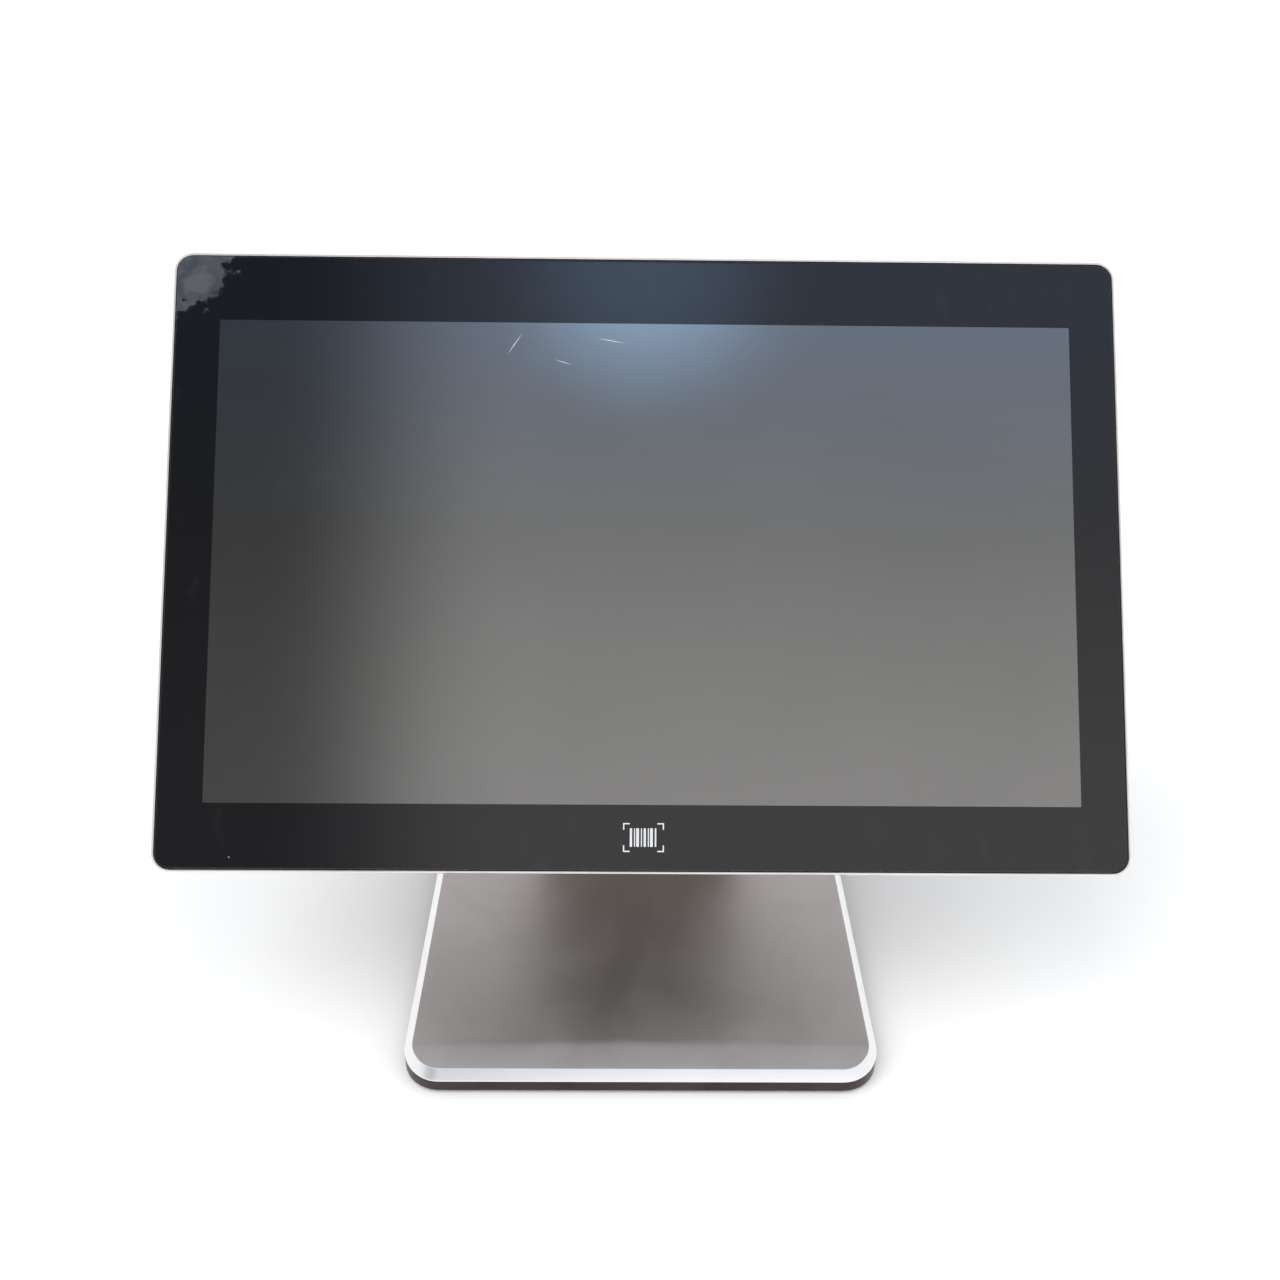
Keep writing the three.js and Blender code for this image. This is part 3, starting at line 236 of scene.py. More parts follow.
def cut(solid, *tools):
    for tool in tools:
        solid = combine(solid, tool, "DIFFERENCE")
    return solid


def join(solid, *others):
    for other in others:
        solid = combine(solid, other, "UNION")
    return solid


# ---------------------------------------------------------------- pieces
def finish_mesh(solid, name, place=ROW, sharp_deg=SHARP_DEG):
    solid.transform(place @ Matrix.Scale(MM, 4))
    bmesh.ops.remove_doubles(solid, verts=solid.verts, dist=1e-6)
    bmesh.ops.recalc_face_normals(solid, faces=solid.faces)
    mesh = bpy.data.meshes.new(name)
    solid.to_mesh(mesh)
    solid.free()
    mesh.shade_smooth()
    mesh.set_sharp_from_angle(angle=math.radians(sharp_deg))
    return mesh


def add_bevel(obj, width):
    edge = obj.modifiers.new("edge", "BEVEL")
    edge.width = width * MM
    edge.segments = 2
    edge.limit_method = "ANGLE"
    edge.angle_limit = math.radians(SHARP_DEG)
    edge.use_clamp_overlap = True
    edge.miter_outer = "MITER_ARC"
    edge.harden_normals = True


def piece(name, mesh, node, *materials):
    """A visible piece that stands for a CAD node and rides on its body."""
    obj = bpy.data.objects.new(name, mesh)
    bpy.context.scene.collection.objects.link(obj)
    for material in materials:
        mesh.materials.append(material)
    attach(obj, NODES[node]["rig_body"])
    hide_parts(node)
    return obj


def refined(node, name, material, width):
    """The CAD node's own shape with welded faces and rounded edges."""
    solid = bmesh.new()
    solid.from_mesh(NODES[node].data)
    bmesh.ops.remove_doubles(solid, verts=solid.verts, dist=2e-6)
    bmesh.ops.dissolve_limit(
        solid, angle_limit=math.radians(1.0), verts=solid.verts, edges=solid.edges
    )
    solid.transform(Matrix.Scale(1 / MM, 4))
    obj = piece(name, finish_mesh(solid, name), node, material)
    add_bevel(obj, width)
    return obj


# ---------------------------------------------------------------- procedural materials
class Look:
    """A Principled material whose patterns are placed by the piece's own coordinates."""

    def __init__(self, name, colour, roughness, metallic=0.0, **sockets):
        self.material = bpy.data.materials.new(name)
        self.material.use_nodes = True
        self.tree = self.material.node_tree
        self.shader = self.tree.nodes["Principled BSDF"]
        self.shader.inputs["Base Color"].default_value = (*colour, 1.0)
        self.shader.inputs["Roughness"].default_value = roughness
        self.shader.inputs["Metallic"].default_value = metallic
        for socket, value in sockets.items():
            self.shader.inputs[socket.replace("_", " ")].default_value = value
        self.coordinates = self.add("ShaderNodeTexCoord").outputs["Object"]

    def add(self, kind, **settings):
        node = self.tree.nodes.new(kind)
        for key, value in settings.items():
            setattr(node, key, value)
        return node

    def feed(self, node, **values):
        for name, value in values.items():
            socket = node.inputs[name.replace("_", " ")]
            if hasattr(value, "is_output"):
                self.tree.links.new(value, socket)
            else:
                socket.default_value = value
        return node

    def stretched(self, scale, turn=(0, 0, 0)):
        node = self.add("ShaderNodeMapping")
        self.feed(node, Vector=self.coordinates, Scale=scale, Rotation=turn)
        return node.outputs["Vector"]

    def noise(self, size_mm, detail=2.0, stretch=None, distortion=0.0, **mapping):
        source = self.stretched(stretch, **mapping) if stretch else self.coordinates
        node = self.add("ShaderNodeTexNoise")
        scale = 1 / (size_mm * MM)
        self.feed(node, Vector=source, Scale=scale, Detail=detail, Distortion=distortion)
        return node.outputs["Fac"]

    def cells(self, size_mm):
        node = self.add("ShaderNodeTexVoronoi")
        self.feed(node, Vector=self.coordinates, Scale=1 / (size_mm * MM))
        return node.outputs["Distance"]

    def remap(self, value, low, high, to_low=0.0, to_high=1.0):
        node = self.add("ShaderNodeMapRange", interpolation_type="SMOOTHSTEP")
        self.feed(node, Value=value, From_Min=low, From_Max=high, To_Min=to_low, To_Max=to_high)
        return node.outputs["Result"]

    def remap_linear(self, value, low, high):
        node = self.add("ShaderNodeMapRange")
        self.feed(node, Value=value, From_Min=low, From_Max=high)
        return node.outputs["Result"]

    def math(self, operation, a, b=0.5):
        node = self.add("ShaderNodeMath", operation=operation)
        for socket, value in zip(node.inputs, (a, b)):
            if hasattr(value, "is_output"):
                self.tree.links.new(value, socket)
            else:
                socket.default_value = value
        return node.outputs["Value"]

    def blend(self, factor, a, b):
        node = self.add("ShaderNodeMix", data_type="RGBA")
        for socket, value in zip((node.inputs[0], node.inputs[6], node.inputs[7]), (factor, a, b)):
            if hasattr(value, "is_output"):
                self.tree.links.new(value, socket)
            elif isinstance(value, tuple):
                socket.default_value = (*value, 1.0)
            else:
                socket.default_value = value
        return node.outputs[2]

    def colour(self, socket):
        self.tree.links.new(socket, self.shader.inputs["Base Color"])

    def roughness(self, socket):
        self.tree.links.new(socket, self.shader.inputs["Roughness"])

    def bump(self, height, depth_mm):
        node = self.add("ShaderNodeBump")
        self.feed(node, Height=height, Distance=depth_mm * MM, Strength=1.0)
        self.feed(self.shader, Normal=node.outputs["Normal"])


def moulded_plastic(name, dark, light, rough=(0.46, 0.62), grain_mm=0.55, depth_mm=0.03):
    """Spark-textured moulding with faint dust and handling marks."""
    look = Look(name, dark, rough[0])
    grain = look.noise(grain_mm, 3.0)
    wide = look.noise(28.0, 3.0, distortion=0.4)
    look.colour(look.blend(look.remap(wide, 0.35, 0.7), dark, light))
    look.roughness(look.remap(look.math("ADD", grain, wide), 0.7, 1.3, *rough))
    look.bump(grain, depth_mm)
    return look.material


def metal(name, dark, light, rough, grain_mm=0.45, depth_mm=0.004, stretch=None, wide_mm=34.0):
    """Bare or anodised metal: a fine grain over slow changes of tone."""
    look = Look(name, dark, rough[0], 1.0)
    grain = look.noise(grain_mm, 3.0, stretch=stretch)
    wide = look.noise(wide_mm, 4.0, distortion=0.6)
    look.colour(look.blend(look.remap(wide, 0.3, 0.72), dark, light))
    look.roughness(look.remap(look.math("ADD", grain, wide), 0.65, 1.35, *rough))
    look.bump(grain, depth_mm)
    return look.material


WORN = {"width": 40.0, "height": 44.0}


def printed_glass():
    """Black print seen through polished glass, with finger smudges, dust and a worn corner."""
    look = Look("printed_glass", (0.0035, 0.0036, 0.0048), 0.03, IOR=1.5)
    smudge = look.remap(look.noise(38.0, 5.0, distortion=1.4), 0.5, 0.74)
    wiped = look.noise(9.0, 4.0, stretch=(1.0, 0.35, 0.35), turn=(0.0, 0.4, 0.0))
    streak = look.remap(wiped, 0.55, 0.8)
    dust = look.remap(look.cells(42.0), 0.012, 0.007)
    worn = worn_corner(look)
    marks = look.math("MULTIPLY", smudge, streak)
    film = look.blend(marks, (0.0035, 0.0036, 0.0048), (0.016, 0.018, 0.024))
    film = look.blend(worn, film, (0.07, 0.074, 0.086))
    look.colour(look.blend(look.math("MULTIPLY", dust, 0.8), film, (0.16, 0.165, 0.18)))
    greasy = look.remap(marks, 0.0, 1.0, 0.025, 0.22)
    look.roughness(look.math("ADD", greasy, look.math("MULTIPLY", worn, 0.3)))
    return look.material


def worn_corner(look):
    """A rubbed patch with a ragged edge around the glass panel's upper left corner."""
    node = look.add("ShaderNodeMapping")
    back = HEAD.inverted()
    look.feed(node, Vector=look.coordinates, Rotation=back.to_euler(), Location=back.translation)
    split = look.add("ShaderNodeSeparateXYZ")
    look.feed(split, Vector=node.outputs["Vector"])
    half_width, half_height = GLASS["width"] / 2 * MM, GLASS["height"] / 2 * MM
    across = look.remap_linear(split.outputs["X"], -half_width, WORN["width"] * MM - half_width)
    down = look.remap_linear(split.outputs["Z"], half_height, half_height - WORN["height"] * MM)
    ragged = look.math("MULTIPLY", look.noise(8.0, 3.0, distortion=0.2), 0.9)
    reach = look.math("ADD", look.math("ADD", across, down), ragged)
    patch = look.remap(reach, 1.16, 1.06)
    streaks = look.remap(look.noise(7.0, 4.0, distortion=0.8), 0.35, 0.7, 0.6, 1.0)
    return look.math("MULTIPLY", patch, streaks)


def screen_surface():
    """The switched-off display behind its glass: a soft grey-green mirror with a faint haze."""
    look = Look("screen_surface", (0.19, 0.19, 0.187), 0.06, 1.0, Coat_Weight=0.5, Coat_Roughness=0.03)
    wide = look.noise(90.0, 3.0, distortion=0.5)
    smudge = look.remap(look.noise(30.0, 5.0, distortion=1.2), 0.5, 0.75)
    dust = look.remap(look.cells(50.0), 0.01, 0.006)
    tone = look.blend(wide, (0.176, 0.178, 0.174), (0.206, 0.207, 0.202))
    look.colour(look.blend(look.math("MULTIPLY", dust, 0.6), tone, (0.5, 0.5, 0.48)))
    look.roughness(look.remap(smudge, 0.0, 1.0, 0.05, 0.1))
    return look.material


PRINTED_GLASS = printed_glass()
SCREEN = screen_surface()
WHITE_INK = moulded_plastic("white_ink", (0.62, 0.63, 0.65), (0.7, 0.7, 0.7), (0.25, 0.35), 0.4, 0.002)
RIM = metal("rim_aluminium", (0.80, 0.72, 0.70), (0.88, 0.81, 0.79), (0.3, 0.4), 0.5, 0.003)
BLASTED = metal("blasted_aluminium", (0.47, 0.43, 0.41), (0.54, 0.5, 0.475), (0.44, 0.52))
# Painted shade and painted dark reflection: the base's vertical walls get a dark brown that stands in for
# shade and a mirrored dark table, not the metal's own tone.
WALL_PAINTED_SHADE = metal("side_wall_painted_shade", (0.052, 0.036, 0.042), (0.078, 0.056, 0.063), (0.3, 0.4), 0.6, 0.004)
POLISHED = metal("polished_edge", (0.95, 0.94, 0.94), (0.98, 0.98, 0.98), (0.3, 0.36), 1.4, 0.0002)
BLACK = moulded_plastic("black_moulding", (0.016, 0.0165, 0.018), (0.024, 0.0245, 0.026))
RUBBER = moulded_plastic("black_rubber", (0.012, 0.012, 0.012), (0.02, 0.02, 0.021), (0.75, 0.9), 0.9, 0.03)
FOAM = moulded_plastic("foam_tape", (0.01, 0.01, 0.01), (0.018, 0.018, 0.018), (0.85, 0.95), 0.6, 0.05)
GLOSSY = moulded_plastic("satin_button", (0.02, 0.02, 0.022), (0.028, 0.028, 0.03), (0.25, 0.35), 0.6, 0.004)
SCREW = metal("blackened_steel", (0.10, 0.10, 0.105), (0.16, 0.16, 0.165), (0.35, 0.5), 0.5, 0.006)
ZINC = metal("zinc_steel", (0.52, 0.53, 0.54), (0.66, 0.67, 0.67), (0.28, 0.42), 2.2, 0.004, wide_mm=9.0)
NICKEL_GRAIN, FIN_GRAIN = (0.2, 1.0, 1.0), (0.1, 1.0, 1.0)  # drawn out along the piece's x
NICKEL = metal("nickel_shell", (0.62, 0.61, 0.6), (0.7, 0.69, 0.67), (0.18, 0.28), 0.5, 0.003, NICKEL_GRAIN)
FINS = metal("heatsink_fins", (0.5, 0.51, 0.53), (0.6, 0.61, 0.62), (0.35, 0.45), 0.5, 0.006, FIN_GRAIN)
BRONZE = metal("spring_bronze", (0.6, 0.43, 0.2), (0.7, 0.52, 0.27), (0.25, 0.35), 0.5, 0.004)
CAST = metal("cast_iron", (0.06, 0.06, 0.063), (0.1, 0.1, 0.105), (0.6, 0.8), 1.4, 0.12, wide_mm=12.0)
POWDER = moulded_plastic("powder_coat", (0.02, 0.02, 0.021), (0.03, 0.03, 0.031), (0.5, 0.65), 0.9, 0.05)
BOARD = moulded_plastic("solder_mask", (0.012, 0.075, 0.03), (0.02, 0.11, 0.045), (0.3, 0.4), 1.1, 0.03)
DISPLAY = moulded_plastic("display_back", (0.11, 0.115, 0.11), (0.15, 0.155, 0.15), (0.3, 0.4), 0.8, 0.004)

SLOT_LOOKS = {
    "glass": PRINTED_GLASS, "sensor_film": DISPLAY, "foam_tape": FOAM, "frame_aluminium": RIM,
    "display_module": DISPLAY, "zinc_steel": ZINC, "circuit_board": BOARD, "heatsink_aluminium": FINS,
    "speaker_plastic": BLACK, "socket_plastic": GLOSSY, "socket_shell": NICKEL, "cover_plastic": BLACK,
    "screw_steel": SCREW, "button_plastic": GLOSSY, "spring_brass": BRONZE, "satin_aluminium": BLASTED,
    "bottom_steel": POWDER, "rubber": RUBBER, "cast_weight": CAST,
}


# ---------------------------------------------------------------- camera
CAMERA = {"place": (-8.0, -434.0, 422.5), "turn_deg": (58.262, -0.710, -0.404), "lens": 35.16, "sensor": 36.0}


def add_camera():
    data = bpy.data.cameras.new("camera")
    data.lens, data.sensor_width = CAMERA["lens"], CAMERA["sensor"]
    camera = bpy.data.objects.new("camera", data)
    camera.location = Vector(CAMERA["place"]) * MM
    camera.rotation_euler = [math.radians(a) for a in CAMERA["turn_deg"]]
    bpy.context.scene.collection.objects.link(camera)
    bpy.context.scene.camera = camera
    return camera


# ---------------------------------------------------------------- screen glass
BORDER_MIDDLE = (LIT["middle"] - (LIT["height"] + GLASS["height"]) / 2) / 2  # of the lower border
MARK = {"z": BORDER_MIDDLE, "half_width": 8.0, "half_height": 5.6, "arm": 2.6, "line": 0.5}
BARS = (  # place across and width of each bar of the mark
    (-4.9, 0.9), (-3.5, 0.45), (-2.3, 1.1), (-0.8, 0.45), (0.5, 0.9), (1.9, 0.45), (3.1, 1.1), (4.7, 0.6)
)
BAR_HALF_HEIGHT = 3.6
SCRATCHES = (  # start and end on the glass, and width
    ((-56, 83), (-50, 92), 0.3),
    ((-37, 81), (-30, 79), 0.25),
    ((-20, 90), (-8, 88), 0.3),
)


def glass_outline(grow, radius=None):
    size = GLASS["corner"] + grow if radius is None else radius
    return rounded(GLASS["width"] + 2 * grow, GLASS["height"] + 2 * grow, size)


def bracket(side, end):
    """One L-shaped corner of the scan mark."""
    x, z = side * MARK["half_width"], MARK["z"] + end * MARK["half_height"]
    arm, line = MARK["arm"], MARK["line"]
    reach = [(0, 0), (arm, 0), (arm, line), (line, line), (line, arm), (0, arm)]
    return [(x - side * across, z - end * down) for across, down in reach]


def strip(start, end, width):
    """A thin pointed patch between two points."""
    a, b = Vector(start), Vector(end)
    side = (b - a).orthogonal().normalized() * width / 2
    return [tuple(p) for p in (a, a.lerp(b, 0.4) + side, b, a.lerp(b, 0.6) - side)]


def inside(point, loop):
    """Whether a point is in a closed outline, by counting the sides that a ray crosses."""
    x, y = point
    crossings = 0
    for (x0, y0), (x1, y1) in zip(loop, loop[1:] + loop[:1]):
        if (y0 > y) != (y1 > y) and x < x0 + (y - y0) * (x1 - x0) / (y1 - y0):
            crossings += 1
    return crossings % 2 == 1


def cover_glass():
    flat = GLASS_EDGE["flat"]
    profile = eased([(0.0, GLASS_THICKNESS), (0.0, 0.0), (flat, 0.0)], [GLASS_EDGE["soft"]])
    skin = [on_xz(glass_outline(-inset), depth) for inset, depth in profile]
    made = loft(skin, capped=False)
    made.faces.new(made.verts[: len(skin[0])])
    lit = rounded(LIT["width"], LIT["height"], 0.4, 2, 0.0, LIT["middle"])
    bars = [rounded(width, 2 * BAR_HALF_HEIGHT, 0.12, 1, x, MARK["z"]) for x, width in BARS]
    brackets = [bracket(side, end) for side in (-1, 1) for end in (-1, 1)]
    white = [*bars, *brackets, *(strip(*s) for s in SCRATCHES)]
    loops = [glass_outline(-flat), lit, *white]
    points, edges = [], []
    for loop in loops:
        first = len(points)
        points += [Vector(p) for p in loop]
        edges += [(first + i, first + (i + 1) % len(loop)) for i in range(len(loop))]
    spots, _, triangles, *_ = delaunay_2d_cdt(points, edges, [], 1, 1e-5)
    corners = [made.verts.new((p.x, 0.0, p.y)) for p in spots]
    for triangle in triangles:
        face = made.faces.new([corners[i] for i in triangle])
        middle = sum((spots[i] for i in triangle), Vector((0, 0))) / 3
        if any(inside(middle, patch) for patch in white):
            face.material_index = 2
        elif inside(middle, lit):
            face.material_index = 1
    mesh = finish_mesh(made, "glass_panel", HEAD)
    return piece("glass_panel", mesh, "cover_glass", PRINTED_GLASS, SCREEN, WHITE_INK)


# ---------------------------------------------------------------- head frame and rear cover
RIM_CROWN = 0.9  # depth of the rim's rounded front
RIM_STEPS = 10
RIM_REAR_SOFT = 0.25
BUTTON_SLOT_REACH = 4


def front_frame():
    edge = FRAME["rim"]
    window = rounded(WINDOW["width"], WINDOW["height"], WINDOW["corner"])
    lip, wall = glass_outline(FRAME["gap"]), glass_outline(edge - FRAME["wall"])
    bead = (edge - FRAME["gap"]) / 2
    turns = [math.pi * i / RIM_STEPS for i in range(RIM_STEPS + 1)]
    crown = [
        (glass_outline(edge - bead + bead * math.cos(a)), FRAME["front"] + RIM_CROWN * (1 - math.sin(a)))
        for a in turns
    ]
    rings = [
        (glass_outline(edge), FRAME["rear"] - RIM_REAR_SOFT),
        *crown,
        (lip, FRAME["ledge"]),
        (window, FRAME["ledge"]),
        (window, FRAME["pocket"]),
        (wall, FRAME["pocket"]),
        (wall, FRAME["rear"]),
        (glass_outline(edge - RIM_REAR_SOFT), FRAME["rear"]),
    ]
    ring = loft([on_xz(outline, depth) for outline, depth in rings], closed=True)
    side, play = GLASS["width"] / 2, BUTTON["play"]
    slot = block(
        (side - BUTTON_SLOT_REACH, side + BUTTON_SLOT_REACH),
        (BUTTON["y"][0] - play, BUTTON["y"][1] + play),
        (BUTTON["z"][0] - play, BUTTON["z"][1] + play),
    )
    mesh = finish_mesh(cut(ring, slot), "head_rim", HEAD)
    return piece("head_rim", mesh, "front_frame", RIM)


def bump_outline(inset):
    middle = (BUMP["top"] + BUMP["bottom"]) / 2
    height = BUMP["top"] - BUMP["bottom"] - 2 * inset
    return rounded(BUMP["width"] - 2 * inset, height, BUMP["corner"], y=middle)


def slots(places, depth):
    """Round-ended slots, each (x, z, width, height)."""
    made = []
    for x, z, width, height in places:
        outline = rounded(width, height, min(width, height) / 2 - 0.01, 5, x, z)
        made.append(loft([on_xz(outline, depth[0]), on_xz(outline, depth[1])]))
    return together(made)


def socket_windows():
    """Openings in the bay's upper wall, a little larger than each socket."""
    made = []
    play, reach = 0.5, 3
    for node in PLASTIC_SOCKETS + METAL_SOCKETS:
        local = [HEAD.inverted() @ v.co / MM for v in NODES[node].data.vertices]
        low = Vector(min(p[i] for p in local) for i in range(3))
        high = Vector(max(p[i] for p in local) for i in range(3))
        across, deep = (low.x - play, high.x + play), (low.y - play, high.y + play)
        made.append(block(across, deep, (BAY["top"] - reach, BAY["top"] + reach)))
    return together(made)


def cover_skin():
    """The thin skirt round the head with the deep housing behind its middle."""
    edge, front, rear = FRAME["rim"], COVER["front"], COVER["rear"]
    rim = [(edge, front), (edge, front + COVER["lip"]), (edge - COVER["chamfer"], rear), (-8.0, rear)]
    rim = eased(rim, [0.3, 1.1], 5)
    corner = GLASS["corner"]
    skirt = loft([on_xz(glass_outline(grow, corner + max(grow, 0)), depth) for grow, depth in rim])
    sides = [(0.0, front + 1), (0.0, rear + 2), (BUMP["draft"], BUMP["rear"]), (14.0, BUMP["rear"])]
    sides = eased(sides, [1.2, 3.2], 5)
    bump = loft([on_xz(bump_outline(inset), depth) for inset, depth in sides])
    return join(skirt, bump)


def cover_hollows():
    """The space inside the skirt, and the space inside the housing less the cable bay's walls."""
    wall, rear = COVER["wall"], COVER["rear"]
    thin = glass_outline(FRAME["rim"] - wall - COVER["inner_step"], GLASS["corner"] - 2)
    in_skirt = loft([on_xz(thin, -1.0), on_xz(thin, rear - wall)])
    in_housing = loft([
        on_xz(bump_outline(wall), COVER["front"] - 2),
        on_xz(bump_outline(wall), rear + 2),
        on_xz(bump_outline(BUMP["draft"] + wall - 0.6), BUMP["rear"] - wall),
    ])
    bay_walls = block(
        (-BAY["half"] - wall, BAY["half"] + wall),
        (rear - wall, BUMP["rear"] + PAST),
        (BAY["bottom"] - PAST, BAY["top"] + wall),
    )
    return in_skirt, cut(in_housing, bay_walls)


def arm_slits():
    """Where the hinge bridge's two arms come out of the housing."""
    reach = ARM["radius"] + 1
    return together([
        block(
            sorted((side * (ARM["inner"] - ARM["slit"]), side * (ARM["outer"] + ARM["slit"]))),
            (BUMP["rear"] - PAST, BUMP["rear"] + PAST),
            (ARM["z"] - reach, ARM["z"] + reach),
        )
        for side in (-1, 1)
    ])


def screw_holes(radius, depth, steps=32):
    """The same hole at each of the rear cover's four screws."""
    x, z = COVER_SCREW["x"], COVER_SCREW["z"]
    return together([rod_y(radius, depth, sx * x, sz * z, steps) for sx in (-1, 1) for sz in (-1, 1)])


def vent_slots():
    made = []
    for z, height in VENTS["rows"]:
        for i in range(VENTS["count"]):
            made.append((VENTS["first"] + VENTS["pitch"] * i, z, VENTS["width"], height))
    return made


def grille_slots():
    made = []
    for side in (-1, 1):
        for i in range(-2, 3):
            x = side * GRILLE["x"] + GRILLE["pitch"] * i
            made.append((x, GRILLE["z"], GRILLE["width"], GRILLE["height"]))
    return made


def rear_cover():
    rear, through = COVER["rear"], (BUMP["rear"] - 4, BUMP["rear"] + PAST)
    bay = block(
        (-BAY["half"], BAY["half"]),
        (BAY["front"], BUMP["rear"] + PAST),
        (BAY["bottom"] - PAST, BAY["top"]),
    )
    seats = screw_holes(COVER_SCREW["head"], (rear - 1, rear + PAST))
    shanks = screw_holes(COVER_SCREW["shank"], (0.0, rear + 1), 16)
    vents, grilles = slots(vent_slots(), through), slots(grille_slots(), through)
    shell = cut(cover_skin(), *cover_hollows())
    shell = cut(shell, bay, arm_slits(), seats, shanks, vents, grilles, socket_windows())
    obj = piece("rear_moulding", finish_mesh(shell, "rear_moulding", HEAD), "rear_cover", BLACK)
    add_bevel(obj, 0.3)
    return obj


# ---------------------------------------------------------------- base
def dip(y):
    """How far the deck has dropped at a place along the base, with a soft bend."""
    ahead, soft = NOSE["bend"] - y, NOSE["soft"]
    if ahead <= -soft:
        return 0.0
    if ahead >= soft:
        return ahead * NOSE["slope"]
    return (ahead + soft) ** 2 / (4 * soft) * NOSE["slope"]


SLOPING = (0.12, 0.93)  # upward parts of the normals of the polished chamfer's faces


def bend_nose(shell, deck):
    """Cut the shell across at the bend, then let its front strip dip."""
    for i in range(-2, 3):
        everything = shell.verts[:] + shell.edges[:] + shell.faces[:]
        place = (0, NOSE["bend"] + i * NOSE["soft"] / 2, 0)
        bmesh.ops.bisect_plane(shell, geom=everything, plane_co=place, plane_no=(0, 1, 0))
    for v in shell.verts:
        if v.co.z > deck / 2:
            v.co.z -= dip(v.co.y)


def base_shell():
    width, depth = base_high.x - base_low.x, base_high.y - base_low.y
    deck, foot = base_high.z, base_low.z
    wall = BASE["wall"]

    def outline(inset):
        return rounded(width - 2 * inset, depth - 2 * inset, BASE["corner"] - inset, 12)

    section = [(wall, deck - BASE["ceiling"]), (wall, foot), (0.0, foot), (0.0, deck - CHAMFER["height"])]
    section += [(CHAMFER["inset"], deck), (BASE["flat"], deck)]
    profile = eased(section, [0.3, 0.5, 0.35, 0.4])
    shell = loft([on_xy(outline(inset), z) for inset, z in profile])
    bend_nose(shell, deck)
    half, hole = DECK_HOLE["half"], (DECK_HOLE["front"], DECK_HOLE["rear"])
    shell = cut(shell, block((-half, half), hole, (deck - 8, deck + PAST)))
    shell.normal_update()
    for face in shell.faces:
        if SLOPING[0] < face.normal.z < SLOPING[1]:
            face.material_index = 1
        # Steep and downward faces take the third material, the painted shade and painted dark reflection of
        # the walls.
        elif face.normal.z <= SLOPING[0]:
            face.material_index = 2
    mesh = finish_mesh(shell, "base_casting")
    return piece("base_casting", mesh, "base_shell", BLASTED, POLISHED, WALL_PAINTED_SHADE)


# ---------------------------------------------------------------- neck
def touch_angle(point, radius, side):
    """Where a line from a point just touches a circle round the tilt axis."""
    y, z = point
    away = math.atan2(z - AXIS.z, y - AXIS.y)
    return away - side * math.acos(radius / math.hypot(z - AXIS.z, y - AXIS.y))


def neck_outline(inset, low, steps=40):
    radius = NECK["barrel"] - inset
    front, rear = (NECK["front"] + inset, low), (NECK["rear"] - inset, low)
    start = touch_angle(rear, radius, -1)
    end = touch_angle(front, radius, 1)
    while end < start:
        end += 2 * math.pi
    arc = [start + (end - start) * i / steps for i in range(steps + 1)]
    top = [(AXIS.y + radius * math.cos(a), AXIS.z + radius * math.sin(a)) for a in arc]
    return [front, rear] + top


def flank_frame():
    """The rear flank's top point, its direction down and its outward direction, in YZ."""
    foot = Vector((NECK["rear"], NECK_FOOT_Z))
    a = touch_angle(foot, NECK["barrel"], -1)
    top = Vector((AXIS.y + NECK["barrel"] * math.cos(a), AXIS.z + NECK["barrel"] * math.sin(a)))
    down = (foot - top).normalized()
    return top, down, Vector((-down.y, down.x)), (foot - top).length


def flank_slab(along, depth, x):
    top, down, out, _ = flank_frame()
    corners = [(along[0], depth[0]), (along[1], depth[0]), (along[1], depth[1]), (along[0], depth[1])]
    outline = [tuple(top + down * a + out * d) for a, d in corners]
    return loft([on_yz(outline, x[0]), on_yz(outline, x[1])])


def neck_shell():
    low, half = NECK_FOOT_Z, NECK["half"]
    rounding = [(inset, half - back) for inset, back in NECK_ROUNDING]
    sections = [(inset, -x) for inset, x in rounding] + [(inset, x) for inset, x in reversed(rounding)]
    outer = loft([on_yz(neck_outline(inset, low), x) for inset, x in sections])
    inner_half = half - NECK["wall"]
    inner = neck_outline(NECK["wall"], low - PAST)
    hollow = loft([on_yz(inner, -inner_half), on_yz(inner, inner_half)])
    length = flank_frame()[3]
    window = flank_slab((NECK["lid_top"], length + 2 * PAST), (-PAST, PAST), (-inner_half, inner_half))
    eyes = rod_x(SHAFT_EYE, (-half - 2 * PAST, half + 2 * PAST), AXIS.y, AXIS.z)
    mesh = finish_mesh(cut(outer, hollow, window, eyes), "neck_sleeve", sharp_deg=28.0)
    return piece("neck_sleeve", mesh, "neck_front_shell", BLASTED)


# ---------------------------------------------------------------- hinge housings on the head
def knuckle_outline(radius, front, steps=36):
    """A tongue from the rear cover, round about the tilt axis, in the head's YZ; and that axis."""
    hinge = HEAD.inverted() @ (AXIS * MM) / MM
    turns = (math.pi * (i / steps - 0.5) for i in range(steps + 1))
    nose = [(hinge.y + radius * math.cos(a), hinge.z + radius * math.sin(a)) for a in turns]
    return nose + [(front, hinge.z + radius), (front, hinge.z - radius)], hinge


